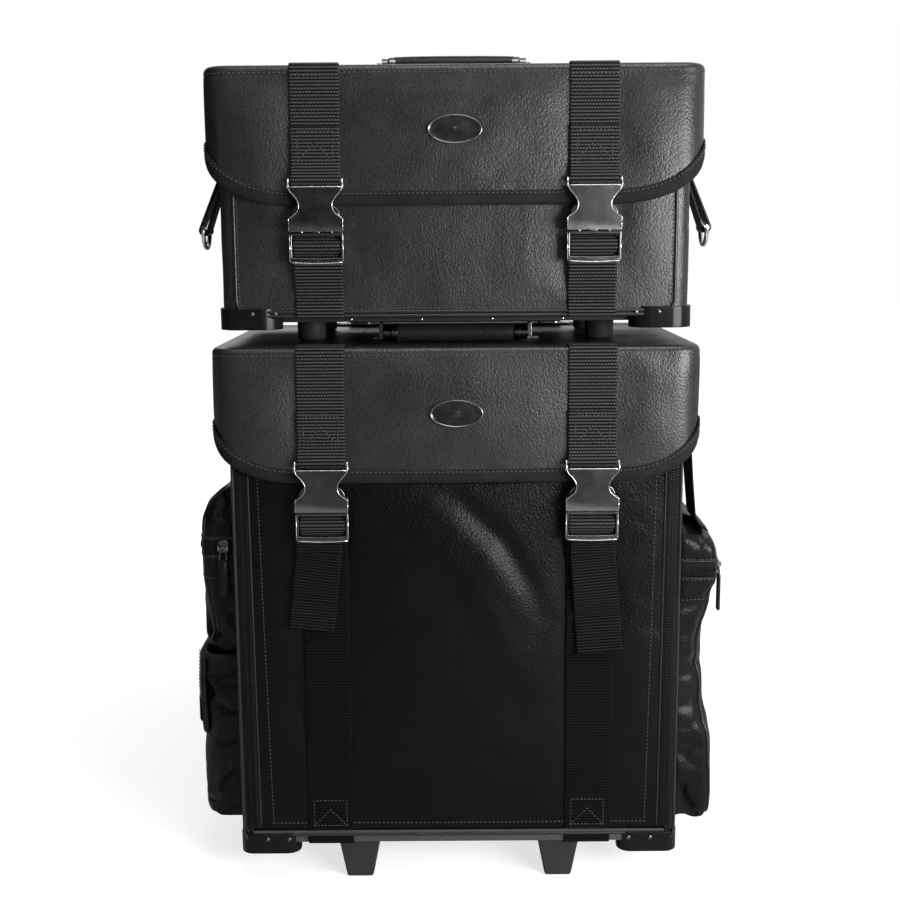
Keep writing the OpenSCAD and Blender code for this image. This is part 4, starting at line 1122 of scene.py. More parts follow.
# Oval plates: bare dark plates with a bright rim, pressed on in the middle of each flap.
gloss_black, gloss_tree, gloss_shader = new_finish("gloss_black")
gloss_noise = cloudy(gloss_tree, places(gloss_tree), 120.0, 3.0)
feed(gloss_tree, gloss_shader, {"Roughness": mapped(gloss_tree, gloss_noise, 0.3, 0.7, 0.14, 0.3),
    "Base Color": blended(gloss_tree, gloss_noise, (0.004, 0.004, 0.0045, 1), (0.011, 0.011, 0.012, 1))})
oval_steps = 64
oval_profile = ((1.0, -0.3), (1.0, 0.9), (0.985, 1.5), (0.955, 1.85), (0.92, 1.7), (0.9, 1.15),
    (0.86, 1.05), (0.6, 1.3), (0.3, 1.45), (0.04, 1.5))
for tier, drop in (("lower", 52), ("upper", 49)):
    face, z1, z_edge, seed = lid_plans[tier]
    z = z1 - drop
    stand = lid_out(0, face, 0, -1, z, z1, z_edge, seed)
    rows = [[(21.5 * share * math.cos(a), face - stand - lift, z + 11 * share * math.sin(a))
        for a in turns(oval_steps)] for share, lift in oval_profile]
    points, faces = loft(rows, wrap=True)
    faces.append(tuple(range(len(points) - oval_steps, len(points))))
    oval = mm_mesh(f"{tier}_oval_plate", points, [f[::-1] for f in faces], [gloss_black, gunmetal])
    for polygon in oval.polygons:
        polygon.material_index = 1 if max(polygon.vertices) < 6 * oval_steps else 0
    add_piece(f"{tier}_oval_plate", oval, f"{tier}_lid", "gunmetal", f"{tier}_badge")
    if oval.polygons[len(oval.polygons) // 2].normal.y > 0:
        oval.flip_normals()

# Upper case body: a box of thin boards with one padded leather cover drawn round it, piped round the
# front, the back and the foot. A woven lining and two ledges for the tray are inside.
upper_half = 184.5
upper_r = 14


def arc(x, y, r, start, end, first=1, last=9):
    """Points of a quarter turn with their outward directions."""
    return [(x + r * math.cos(a), y + r * math.sin(a), math.cos(a), math.sin(a))
        for a in np.linspace(start, end, 9)[first:last]]


def ring_outline(half, y0, y1, r):
    """A closed outline with round corners and its outward directions, seen from above."""
    out = u_outline(half, y0, y1 - r, r) + arc(half - r, y1 - r, r, 0, math.pi / 2)
    out += [(x, y1, 0.0, 1.0) for x in np.linspace(half - r, -half + r, 60)[1:]]
    return out + arc(-half + r, y1 - r, r, math.pi / 2, math.pi, last=8)


def upper_out(x, y, nx, ny, z):
    """How far the upper cover stands out of its boards."""
    t = (z - 474) / 180
    front = max(0.0, -ny) ** 2
    out = beside_straps(x, 2.6, 1.5, 172, 0.3) * front * swell(t ** 0.9 if t > 0 else 0) ** 0.7
    out += (0.9 * abs(nx) + 0.7 * max(0.0, ny)) * swell(t) * (swell((y - y_up) / 204)
        if abs(nx) > 0.9 else 1)
    near_strap = abs(abs(x) - strap_x) if front > 0.5 else 99
    away = min(1.0, max(0.0, near_strap - 19) / 12)
    wave = 0.7 * ripple(x, y, z, 48, 8) + 0.12 * ripple(x, y, z, 18, 11)
    out = (out + wave * away) * min(1.0, max(0.0, (z - 475) / 8)) * min(1.0, max(0.0, (656 - z) / 5))
    return max(-0.05, out)


board_copy("upper_boards", "upper_shell", "upper_case", "leather", [body_leather, lining], 1.2,
    lambda c, n: abs(c.x) < 182 and y_up + 3 < c.y < y_up_back - 3 and c.z > 473)
outline = ring_outline(upper_half, y_up, y_up_back, upper_r)
rows = []
for z in [657.0, 656.4] + list(np.linspace(652, 478, 56)) + [475, 472.6, 471.2]:
    turn_in = max(0.0, 473.4 - z) * 0.8 + max(0.0, z - 655.8) * 0.7
    rows.append([(x + nx * (upper_out(x, y, nx, ny, z) + 0.25 - turn_in),
        y + ny * (upper_out(x, y, nx, ny, z) + 0.25 - turn_in), z) for x, y, nx, ny in outline])
# The cover takes the lighter lid leather: painted light on the upper body.
cover = add_piece("upper_cover", mm_mesh("upper_cover", *loft(rows, wrap=True), [lit_lid_leather]),
    "upper_case", "leather")
finished(cover, ("SOLIDIFY", {"thickness": 0.0012, "offset": -1.0}))
frame_line = [(-172.5, 655), (-172.5, 476), (172.5, 476), (172.5, 655)]
upper_cords = [tube(sampled(rounded([(x, y, z) for x, z in frame_line], 10), 4), 1.4)
    for y in (y_up - 0.6, y_up_back + 0.6)]
foot_ring = [Vector((x + nx * 0.5, y + ny * 0.5, 472.8)) for x, y, nx, ny in outline]
piped("upper_piping", upper_cords + [tube(foot_ring, 1.5, closed=True)], "upper_case")
row_corners = [(-170.2, 0, 655), (-170.2, 0, 478.2), (170.2, 0, 478.2), (170.2, 0, 655)]
row_line = sampled(rounded(row_corners, 8), 4)
for where, y, way in (("front", y_up, -1), ("back", y_up_back, 1)):
    seam = [Vector((p.x, y + way * (upper_out(p.x, y, 0, way, p.z) + 0.4), p.z)) for p in row_line]
    sew(f"upper_stitches_{where}", [seam], "upper_case", (0, way, 0))

# Hinge strip: leather sewn to the upper case's back, which reaches up to the lid's hinge line and closes
# the gap under the open lid.
strip_ring = [(95.2, 646), (96.4, 646.2), (96.8, 647.5), (96.6, 655), (96.5, 662.6), (96.1, 663.6),
    (95.2, 663.8)]
rows = [[(x, y, z) for y, z in strip_ring] for x in np.linspace(-182, 182, 40)]
points, faces = loft(rows, wrap=True)
faces += [tuple(range(7)), tuple(range(len(points) - 1, len(points) - 8, -1))]
add_piece("hinge_strip", mm_mesh("hinge_strip", points, [f[::-1] for f in faces], [body_leather]),
    "upper_case", "leather")
sew("hinge_strip_stitches", [[Vector((x, 96.9, 649.5)) for x in np.linspace(-178, 178, 90)]], "upper_case",
    (0, 1, 0))

# Base of the upper case: a black fibre board riveted on under the body, four turned rubber feet that
# stand on the lower lid, and moulded guards that wrap the front corners of both cases.


def moulded(name, tone, rough, grain=0.2, scale=900.0):
    material, tree, shader = new_finish(name)
    where = places(tree)
    dust = cloudy(tree, where, 22.0, 4.0, Roughness=0.6)
    base = blended(tree, dust, rgb(tone, 0.8, 0.8, 0.82), rgb(tone, 1.25, 1.25, 1.28))
    feed(tree, shader, {"Base Color": blended(tree, rubbed(tree, 0.52, 0.6, 0.6), base, rgb(tone, 2.4)),
        "Specular IOR Level": 0.12, "Roughness": mapped(tree, dust, 0.3, 0.7, rough * 0.85, rough * 1.2),
        "Normal": bumped(tree, cloudy(tree, where, scale), grain, 0.0003)})
    return material


def lathe(profile, centre, axis="z", steps=48, closed=False):
    """A turned shape from (radius, place along the axis) pairs, round an upright or a sideways axis."""
    rows = []
    for r, h in profile:
        ring = [(r * math.cos(a), r * math.sin(a)) for a in turns(steps)]
        rows.append([Vector(centre) + Vector((u, v, h) if axis == "z" else (h, u, v)) for u, v in ring])
    return loft(rows, True, "joined" if closed else "capped")


def rivet_head(tree):
    dome = add_node(tree, "GeometryNodeMeshUVSphere", {"Segments": 14, "Rings": 8, "Radius": 0.5})
    return add_node(tree, "GeometryNodeSetShadeSmooth", {"Geometry": dome.outputs[0]}).outputs[0]


fibre_board = moulded("fibre_board", 0.012, 0.5, 0.5, 420.0)
foot_rubber = moulded("foot_rubber", 0.014, 0.62, 0.4)
guard_plastic = moulded("guard_plastic", 0.005, 0.2, 0.06)
rivet_row = grow_tree("rivet_row", rivet_head)
steel = plated("steel", 0.5, 0.28)
board_copy("base_board", "upper_base_board", "upper_case", "black_plastic", [fibre_board], 0.8)
for where, y, way in (("front", -95.05, -1), ("back", 85.35, 1)):
    grown(f"base_rivets_{where}", [[(x, y, 469) for x in (-140, 0, 142)]], rivet_row, steel, "upper_case",
        "bright_metal", Pitch=0.056, Width=0.0024, Height=0.0012, Length=0.0024, Facing=(0, way, 0))
foot_profile = [(0.02, 467), (10.6, 467), (11.6, 466), (12, 464.6), (11.7, 452.4), (11.2, 450.4),
    (10, 449.35), (6.2, 449.35), (5.4, 450.6), (3.6, 451), (0.02, 451)]
rubber_feet = [lathe(foot_profile, (x, y, 0)) for x in (-120, 120) for y in (-48.85, 59.15)]
solid_piece("upper_rubber_feet", rubber_feet, "upper_case", "black_plastic", foot_rubber, 0, "upper_feet")
for tier, body, z, y in (("lower", "lower_case", z_body, y_front), ("upper", "upper_case", z_up, y_up)):
    board_copy(f"{tier}_guards", f"{tier}_corner_guards", body, "black_plastic", [guard_plastic], 1.5)
    grown(f"{tier}_guard_rivets", [[(s * a, y - 3.1, z + 3.6), (s * (a + 18), y - 3.1, z + 3.6)]
        for s, a in ((-1, 142), (1, 142))], rivet_row, gunmetal, body, "gunmetal", Pitch=0.018,
        Width=0.0034, Height=0.0014, Length=0.0034, Facing=(0, -1, 0))

# Front feet: two moulded blocks that taper to the floor and level the case with its wheels.
foot_plastic = moulded("foot_plastic", 0.02, 0.42, 0.3)
board_copy("front_foot_blocks", "front_feet", "lower_case", "grey_plastic", [foot_plastic], 2.2)

# Wheels: in-line wheels in moulded housings at the rear corners, with a rubber tyre on a ribbed hub
# that turns on a steel axle.
wheel_x = 152
y_wheel = 103.15
wheel_r = 31
tyre_rubber = moulded("tyre_rubber", 0.016, 0.55, 0.45)
hub_plastic = moulded("hub_plastic", 0.07, 0.4, 0.25)
board_copy("wheel_boxes", "wheel_housings", "lower_case", "black_plastic", [guard_plastic], 1.4)
half_tread = [(19.2, 10.9), (26.6, 11), (29.4, 10.2), (30.6, 8.2), (31, 5.6), (31, 3.6), (30.2, 3.3),
    (30.2, 2.4), (31, 2.1)]
half_rim = [(19.2, 11), (18.6, 11.9), (17.2, 12), (16.2, 11.2), (15.8, 6.2)]
half_boss = [(7.6, 6.2), (7.2, 11.4), (6.4, 12), (4.2, 12), (3.25, 11)]
for side, side_name in ((-1, "left"), (1, "right")):
    body = f"wheel_{side_name}"
    middle = (side * wheel_x, y_wheel, wheel_r)
    tread = half_tread + [(r, -h) for r, h in half_tread[::-1]]
    solid_piece(f"tyre_{side_name}", [lathe(tread, middle, "x", 84, closed=True)], body, "tyre",
        tyre_rubber, 0, f"wheel_{side_name}_tyre")
    rings = [lathe(part + [(r, -h) for r, h in part[::-1]], middle, "x", 60, closed=True)
        for part in (half_rim, half_boss)]
    solid_piece(f"hub_{side_name}", rings, body, "grey_plastic", hub_plastic, 0, f"wheel_{side_name}_hub")
    circle = [(side * wheel_x, y_wheel + 11.6 * math.cos(a), wheel_r + 11.6 * math.sin(a))
        for a in np.linspace(0, math.radians(300), 61)]
    grown(f"hub_spokes_{side_name}", [circle], tooth_row, hub_plastic, body, "grey_plastic",
        Pitch=0.01214, Width=0.0105, Height=0.0135, Length=0.0042, Facing=(1, 0, 0))


def refinish(node, material):
    """A carried-over CAD node with this object's own finish."""
    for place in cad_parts[node].material_slots:
        place.material = material


refinish("wheel_axles", steel)

# Telescopic handle: two pairs of aluminium tubes run one in the other, held by a bracket at the foot
# and a bezel at the top, under a moulded grip with a release button.


def brushed(name, tone, rough):
    material, tree, shader = new_finish(name)
    where = places(tree)
    brush = cloudy(tree, stretched(tree, where, (5200, 5200, 26)), 1.0)
    smear = cloudy(tree, where, 34.0, 3.0)
    tint = blended(tree, brush, rgb(tone, 0.86, 0.87, 0.89), rgb(tone, 1.1, 1.1, 1.11))
    feed(tree, shader, {"Base Color": tint, "Metallic": 1.0,
        "Roughness": mapped(tree, smear, 0.3, 0.7, rough * 0.8, rough * 1.25),
        "Normal": bumped(tree, brush, 0.08, 0.0002)})
    return material


handle_y = 118.65
tube_metal = brushed("tube_metal", 0.56, 0.3)
for node in ("handle_outer_tubes", "handle_stage_1_tubes", "handle_stage_2_tubes"):
    refinish(node, tube_metal)
board_copy("handle_collar", "handle_bezel", "lower_case", "black_plastic", [guard_plastic], 0.6)
board_copy("handle_foot", "handle_base_bracket", "lower_case", "black_plastic", [fibre_board], 1.0)
grip_rubber = moulded("grip_rubber", 0.016, 0.48, 0.5, 1400.0)
board_copy("handle_bar", "handle_grip", "handle_stage_2", "black_plastic", [grip_rubber], 1.5)
board_copy("release_button", "handle_button", "handle_button", "grey_plastic", [hub_plastic], 0.9)
grown("grip_ribs", [[(s * x, handle_y, 470.1) for x in (25, 93)] for s in (-1, 1)], tooth_row, grip_rubber,
    "handle_stage_2", "black_plastic", Pitch=0.004, Width=0.017, Height=0.0012, Length=0.0021,
    Facing=(0, 0, 1))
screw_lines = [[(s * x, handle_y, 451.1) for x in (105.5, 108.5)] for s in (-1, 1)]
grown("collar_screws", screw_lines, rivet_row, steel, "lower_case", "bright_metal", Pitch=0.01,
    Width=0.0046, Height=0.0012, Length=0.0046, Facing=(0, 0, 1))

# Carry handles: a padded leather bar sewn along its underside, on two plated arms that turn on pins in
# brackets riveted to the lid.
carry_leather = leather("carry_leather", 0.012, 0.36, grain=0.5, folds=0.1)


def sideways(part):
    """The same shape with its x and y exchanged, so that a flat plate stands across the case."""
    points, faces = part
    return [Vector((p[1], p[0], p[2])) for p in points], [f[::-1] for f in faces]


bar_half = 50.5
for tier, y, z in (("lower", -37.85, z_top), ("upper", -6.85, z_up_top)):
    body = f"{tier}_carry_handle"
    middle = z + 7.3
    bar_y = y - 36
    rows = []
    for x in np.linspace(-bar_half, bar_half, 60):
        size = 6.0 + 0.9 * swell((x + bar_half) / 101) ** 0.5
        size *= min(1.0, 0.8 + (bar_half - abs(x)) / 8)
        ring = []
        for a in turns(28):
            under = math.atan2(math.sin(a + math.pi / 2), math.cos(a + math.pi / 2))
            groove = 0.7 * math.exp(-(under / 0.16) ** 2)
            reach = size * (1 - 0.06 * math.cos(2 * a)) - groove + 0.12 * ripple(x, 9 * a, z, 12)
            ring.append((x, bar_y - reach * math.cos(a), middle + reach * math.sin(a)))
        rows.append(ring)
    solid_piece(f"{tier}_carry_bar", [loft(rows, True, "capped")], body, "leather", carry_leather, 0,
        f"{tier}_carry_handle")
    sew(f"{tier}_carry_stitches", [[(x, bar_y + s * 1.9, middle - 6.2) for x in np.linspace(-46, 46, 40)]
        for s in (-1, 1)], body, (0, 0, -1), pitch=3.0, length=2.2, width=0.8)
    arms = []
    for s in (-1, 1):
        turn = [(y + 4.9 * math.cos(a), middle + 4.9 * math.sin(a)) for a in np.linspace(-1.35, 1.35, 13)]
        end = [(bar_y + 5.6 * math.cos(a), middle + 5.6 * math.sin(a))
            for a in np.linspace(1.9, 2 * math.pi - 1.9, 13)]
        outline = turn + [(bar_y + 12, middle + 3.4)] + end + [(bar_y + 12, middle - 3.4)]
        hole = [(y + 2.25 * math.cos(a), middle + 2.25 * math.sin(a))
            for a in turns(len(outline), -1.35)]
        arms.append(sideways(plate(outline, s * 53.5, s * 58.5, hole)))
        knob = [(5.0, s * 46.5), (6.3, s * 47.2), (6.5, s * 49.5), (6.5, s * 52.2), (5.4, s * 53.6)]
        arms.append(lathe(knob, (0, bar_y, middle), "x", 36))
    solid_piece(f"{tier}_carry_arms", arms, body, "gunmetal", gunmetal, 0.5)
    lid = f"{tier}_lid"
    board_copy(f"{tier}_carry_brackets", f"{tier}_carry_mounts", lid, "bright_metal", [gunmetal], 0.5)
    rivets = [[(s * 54.5, place, z + 1.7) for place in (y - 7.2, y + 7.3)] for s in (-1, 1)]
    grown(f"{tier}_bracket_rivets", rivets, rivet_row, chrome, lid, "bright_metal", Pitch=0.0144,
        Width=0.0034, Height=0.0013, Length=0.0034, Facing=(0, 0, 1))

# Side pockets: bags of the same leather, hardly filled, sewn flat to the sides of the lower case. Each
# is blown up a little by a cloth simulation, so that it sags and wrinkles between its seams.
# A darker copy of the case leather: painted shade for the pockets on the sides.
shaded_pocket_leather = leather("shaded_pocket_leather", 0.005, 0.32, specular=0.13, grain=0.7, folds=0.5)
pocket_y0 = -96.85
pocket_y1 = 75.15


def between(value, knots):
    """A smooth value between (place, value) knots."""
    for (a, low), (b, high) in zip(knots, knots[1:]):
        if value <= b:
            t = min(1.0, max(0.0, (value - a) / (b - a)))
            return low + (high - low) * t * t * (3 - 2 * t)
    return knots[-1][1]


def pocket_ring(side, out, y0, y1, front_round, back_round):
    """Plan of a pocket from the wall at its front to the wall at its back, with outward directions."""
    ring = []
    run_front = min(front_round, 0.8 * out)
    run_back = min(back_round, 0.8 * out)
    reach = run_front * (1.6 if front_round > 12 else 1.0)
    for t in np.linspace(0, 1, 9, endpoint=False):
        ring.append((180.4 + (out - 0.4 - run_front) * t, y0, 0.0, -1.0))
    for a in np.linspace(0, math.pi / 2, 9):
        ring.append((180 + out - run_front + run_front * math.sin(a), y0 + reach - reach * math.cos(a),
            math.sin(a), -math.cos(a)))
    for t in np.linspace(0, 1, 36)[1:-1]:
        ring.append((180 + out, y0 + reach + (y1 - run_back - y0 - reach) * t, 1.0, 0.0))
    for a in np.linspace(0, math.pi / 2, 9):
        ring.append((180 + out - run_back + run_back * math.cos(a), y1 - run_back + run_back * math.sin(a),
            math.cos(a), math.sin(a)))
    for t in np.linspace(0, 1, 10)[1:]:
        ring.append((180 + (out - run_back) * (1 - t) + 0.4 * t, y1, 0.0, 1.0))
    return [(side * x, y, side * nx, ny) for x, y, nx, ny in ring]


def blown(piece, pressure, cap, held):
    """Cloth under a little pressure, its points moved no further than the cap, the held ones not at all."""
    piece.vertex_groups.new(name="held").add(held, 1.0, "REPLACE")
    before = [v.co.copy() for v in piece.data.vertices]
    cloth = piece.modifiers.new("cloth", "CLOTH")
    for key, value in {"quality": 5, "mass": 0.25, "tension_stiffness": 12, "compression_stiffness": 12,
            "bending_stiffness": 0.3, "use_pressure": True, "uniform_pressure_force": pressure,
            "shrink_min": -0.05, "vertex_group_mass": "held"}.items():
        setattr(cloth.settings, key, value)
    cloth.settings.effector_weights.gravity = 0
    cloth.collision_settings.use_collision = False
    cloth.point_cache.frame_start = 1
    cloth.point_cache.frame_end = 22
    for step in range(1, 21):
        bpy.context.scene.frame_set(step)
    after = baked_mesh(piece)
    moved = [v.co.copy() for v in after.vertices]
    piece.modifiers.clear()
    piece.vertex_groups.clear()
    bpy.context.scene.frame_set(1)
    bpy.data.meshes.remove(after)
    for vertex, start, end in zip(piece.data.vertices, before, moved):
        way = end - start
        vertex.co = start + way * min(1.0, cap * 0.001 / max(way.length, 1e-9))


def move_points(piece, change):
    """Moves each point, in millimetres, to the place that a rule gives."""
    for vertex in piece.data.vertices:
        vertex.co = Vector(change(*(vertex.co * 1000))) * 0.001
    piece.data.update()


def zip_pocket(name, node, side, profile, front_round, rule):
    rows = []
    for z, out in profile:
        inset = 1 + 6 * max(0.0, 1 - out / 34)
        y0, y1 = pocket_y0 + inset, pocket_y1 - inset
        ring = pocket_ring(side, out, y0, y1, front_round, 12)
        wall = [(side * 180.4, y, 0, 0) for y in np.linspace(y1, y0, 34)[1:-1]]
        rows.append([rule(x, y, z) for x, y, _, _ in ring + wall])
    piece = solid_piece(name, [loft(rows, True, "capped")], "lower_case", "leather", shaded_pocket_leather, 0,
        node)
    finished(piece, ("REMESH", {"mode": "VOXEL", "voxel_size": 0.0045, "use_smooth_shade": True}))
    blown(piece, 2.2, 5.5, [v.index for v in piece.data.vertices if abs(v.co.x) < 0.1832])
    return piece


def right_rule(x, y, z):
    near_front = 1 - 0.45 * min(1.0, max(0.0, (y + 97) / 70))
    waist = between(z, [(60, 0), (110, 5), (150, 15), (205, 17), (236, 9), (252, 0.5), (320, 0)])
    waist *= near_front
    share = max(0.0, (x - 180.4) / 36)
    crinkle = 1.6 * max(0.0, min(1.0, (z - 266) / 8)) * ripple(x * 2.2, y, z * 1.5, 17, 2) * share
    fold = 1.3 * ripple(x, y * 0.4, z * 1.6, 30, 6) * share
    return (x - waist * share - 0.6 * abs(fold), y + 0.4 * fold, z + crinkle)


def left_rule(x, y, z):
    share = max(0.0, (-x - 180.4) / 32)
    pulled = between(z, [(191, 4), (212, 1), (250, 0), (340, 0)]) * share
    crinkle = 1.4 * max(0.0, min(1.0, (z - 292) / 8)) * ripple(x * 2.2, y, z * 1.5, 16, 9) * share
    return (x + pulled + 0.7 * abs(ripple(x, y, z, 26, 12)) * share, y, z + crinkle)


right_profile = [(42.3, 20), (42.8, 27), (45, 32), (50, 35), (58, 35.8)]
right_profile += [(z, 36) for z in range(68, 272, 9)]
right_profile += [(275, 35.4), (280, 34), (284.5, 30), (288.5, 24), (293, 17), (298, 10.5), (302.5, 5),
    (305, 3)]
left_profile = [(191.3, 22), (192, 27), (195, 30.5), (200, 31.6)] + [(z, 32) for z in range(209, 298, 9)]
left_profile += [(302, 31.4), (308, 29.6), (314, 25), (319, 19), (325, 12.5), (331, 7), (335, 3.4),
    (336.4, 2.6)]
right_round, left_round = 10, 12.5
right_bag = zip_pocket("right_pocket_leather", "right_pocket", 1, right_profile, right_round, right_rule)
left_bag = zip_pocket("left_pocket_leather", "left_zip_pocket", -1, left_profile, left_round, left_rule)


def within(y):
    """A pocket's place along the side, kept between its front and rear limits."""
    return max(-97.0, min(75.6, y))


def held_in(x, side, most):
    """A pocket's reach from the side wall, eased off before it passes its limit."""
    reach, soft = abs(x), most - 3
    if reach <= 180.6:
        return side * 180.2
    return side * (reach if reach < soft else soft + 3 * (1 - math.exp(-(reach - most + 3) / 3)))


for piece, side, most in ((right_bag, 1, 216.9), (left_bag, -1, 213.5)):
    move_points(piece, lambda x, y, z, s=side, m=most: (held_in(x, s, m), within(y), z))
    finished(piece, ("SUBSURF", {"levels": 1, "render_levels": 1}))


def skin_of(piece):
    """A tree of the piece's faces, in which a ray finds its skin."""
    bm = bmesh.new()
    bm.from_mesh(piece.data)
    tree = BVHTree.FromBMesh(bm)
    bm.free()
    return tree


def on_skin(tree, plan, z, lift):
    """Places on a pocket's skin at a height, from its front round to its back."""
    line = []
    for x, y, nx, ny in plan:
        way = Vector((nx, ny, 0))
        hit = tree.ray_cast((Vector((x, y, z)) + way * 22) * 0.001, -way, 0.06)[0]
        if hit:
            line.append(hit * 1000 + way * lift)
    return line


pocket_tape = zip_cloth("pocket_tape", 0.004)
for piece, side, side_name, z, out, front_round, corner_z in (
        (right_bag, 1, "right", 261.15, 36, right_round, (47, 286)),
        (left_bag, -1, "left", 282.6, 32, left_round, (195, 306))):
    tree = skin_of(piece)
    plan = [p for p in pocket_ring(side, out, pocket_y0 + 1, pocket_y1 - 1, front_round, 12)
        if abs(p[0]) > 182.5]
    middle = on_skin(tree, plan, z, 0)
    low_edge, high_edge = on_skin(tree, plan, z - 6.5, 0.0), on_skin(tree, plan, z + 6.5, 0.0)
    count = min(len(middle), len(low_edge), len(high_edge))
    rows = []
    ways = [Vector((nx, ny, 0)) for _, _, nx, ny in plan]
    for share, lift in ((0, -0.4), (0, 0.35), (0.33, 0.45), (0.5, 0.4), (0.67, 0.45), (1, 0.35), (1, -0.4)):
        rows.append([low_edge[i].lerp(high_edge[i], share) + ways[i] * lift for i in range(count)])
    tape = solid_piece(f"{side_name}_pocket_tape", [loft(rows)], "lower_case", "webbing", pocket_tape, 0)
    finished(tape, ("SOLIDIFY", {"thickness": 0.0003, "offset": 0.0}))
    teeth = [p + way * 0.8 for p, way in zip(middle, ways)]
    parts = {"front": [], "outer": [], "back": []}
    for p, q in zip(teeth, plan):
        parts["outer" if abs(q[2]) > 0.7 else "front" if q[3] < 0 else "back"].append(p)
    for part, facing in (("front", (0, -1, 0)), ("outer", (side, 0, 0)), ("back", (0, 1, 0))):
        grown(f"{side_name}_pocket_teeth_{part}", [parts[part]], tooth_row, zip_coil, "lower_case",
            "webbing", Pitch=0.0018, Width=0.0042, Height=0.0012, Length=0.0011, Facing=facing)
    for number, shift in enumerate((-8.6, 8.6, -26)):
        line = on_skin(tree, plan, z + shift, 0.15)
        for part, facing, want in (("outer", (side, 0, 0), lambda q: abs(q[2]) > 0.7),
                ("front", (0, -1, 0), lambda q: q[3] < -0.7)):
            row = [p for p, q in zip(line, plan) if want(q)]
            sew(f"{side_name}_pocket_stitches_{part}_{number}", [row], "lower_case", facing, pitch=3.2,
                length=2.4)
    cords = [tube(on_skin(tree, plan, z + shift, 0.1), 0.75) for shift in (-7.2, 7.2)]
    corner = [p for p in plan if 0.6 < abs(p[2]) < 0.85 and p[3] < 0][:1]
    low_z, high_z = corner_z
    edge = [on_skin(tree, corner, h, 0.2) for h in np.linspace(low_z, high_z, 60)]
    cords.append(tube([p[0] for p in edge if p], 1.2))
    wall_line = [Vector((side * 181.2, pocket_y0 + 0.2, h)) for h in (low_z - 3, high_z + 12)]
    cords.append(tube(sampled(wall_line, 6), 1.1))
    piped(f"{side_name}_pocket_piping", cords, "lower_case")

# Left flap pocket: an open bag of thin leather with a bound rim, closed by a flap that is sewn along
# its top edge and held down by a webbing band.
flap_rows = []
for z in [189.0, 188.2] + list(np.linspace(184, 56, 44)) + [51, 48.4, 47.3]:
    out = 36 - between(z, [(47, 5), (51, 2), (60, 0), (100, 1.5), (125, 4.5), (150, 3.0), (175, 0.5),
        (190, 0)])
    ring = pocket_ring(-1, out, pocket_y0 + 0.6, pocket_y1 - 0.6, 14, 12)
    row = []
    for x, y, nx, ny in ring:
        x2 = x - nx * 0.8 * ripple(x, y, z * 1.4, 24, 3)
        row.append((x2, y + 0.9 * ripple(x, y * 0.5, z, 28, 7) * abs(ny), z))
    flap_rows.append(row)
floor_rows = []
for share in (0.86, 0.5, 0.14):
    floor_rows.append([((x + 180.4) * share - 180.4, y * share - (1 - share) * 10.8, 47.2)
        for x, y, _ in flap_rows[-1]])
points, faces = loft(flap_rows + floor_rows)
flap_bag = solid_piece("flap_pocket_leather", [(points, [f[::-1] for f in faces])], "lower_case", "leather",
    shaded_pocket_leather, 0, "left_flap_pocket")
flap_bag.data.materials.append(lining)
blown(flap_bag, 1.2, 4.0, [v.index for v in flap_bag.data.vertices if abs(v.co.x) < 0.183 or v.co.z > 0.182
    or v.co.z < 0.0478])
move_points(flap_bag, lambda x, y, z: (max(-216.9, x), within(y), max(47.1, z)))
bm = bmesh.new()
bm.from_mesh(flap_bag.data)
outer_face = min(bm.faces, key=lambda f: f.calc_center_median().x)
if outer_face.normal.x > 0:
    bmesh.ops.reverse_faces(bm, faces=bm.faces)
bm.to_mesh(flap_bag.data)
bm.free()
finished(flap_bag, ("SUBSURF", {"levels": 1, "render_levels": 1}),
    ("SOLIDIFY", {"thickness": 0.0022, "offset": -1.0, "material_offset": 1, "material_offset_rim": 0}))
rim_plan = pocket_ring(-1, 35.4, pocket_y0 + 1.2, pocket_y1 - 1.2, 14, 12)
rim = tube([Vector((x - 0.3 * nx, y, 188.6)) for x, y, nx, _ in rim_plan], 1.9, flat=1.4)
add_piece("flap_pocket_rim", mm_mesh("flap_pocket_rim", *rim, [binding_tape]), "lower_case", "leather")
flap_outline = [p for p in pocket_ring(-1, 38.0, pocket_y0 - 0.6, pocket_y1 + 1, 15, 12)
    if -93 < p[1] < 71.4 and abs(p[2]) > 0.35]
middle_y = -11
rows = []
for z in np.linspace(189.0, 119.2, 30):
    trim = 7 * max(0.0, (131 - z) / 12) ** 2
    row = []
    for x, y, nx, ny in flap_outline:
        y2 = middle_y + (y - middle_y) * (1 - trim / 85)
        out = 0.5 * ripple(x, y, z, 30, 5) + 0.9 * swell((189 - z) / 70)
        row.append((x + nx * out, y2 + ny * out, z))
    rows.append(row)
flap_leather = solid_piece("flap_cover", [loft(rows)], "left_pocket_flap", "leather", shaded_pocket_leather, 0,
    "left_pocket_flap")
if flap_leather.data.polygons[len(flap_leather.data.polygons) // 2].normal.x > 0:
    flap_leather.data.flip_normals()
flap_leather.data.materials.append(lining)
finished(flap_leather, ("SOLIDIFY", {"thickness": 0.0026, "offset": 0.0, "material_offset": 1,
    "material_offset_rim": 0}), ("SUBSURF", {"levels": 1, "render_levels": 1}))
hem = [Vector(rows[k][0]) for k in range(0, 30, 2)] + [Vector(p) for p in rows[-1]]
hem += [Vector(rows[k][-1]) for k in range(28, -1, -2)]
hem_cord = tube(sampled(hem, 5), 2.1)
add_piece("flap_binding", mm_mesh("flap_binding", *hem_cord, [binding_tape]), "left_pocket_flap", "leather")
inset = [Vector(rows[k][3]) + Vector((-1.5, 0, 0)) for k in range(0, 26)]
inset += [Vector(p) + Vector((-1.6, 0, 0))
    for p in rows[25][3:-3] + [rows[k][-4] for k in range(25, -1, -1)]]
sew("flap_stitches", [inset], "left_pocket_flap", (-1, 0, 0), pitch=3.2, length=2.4)
band_line = [Vector((x + nx * 2.6, y, 139)) for x, y, nx, ny in flap_outline[1:-1]]
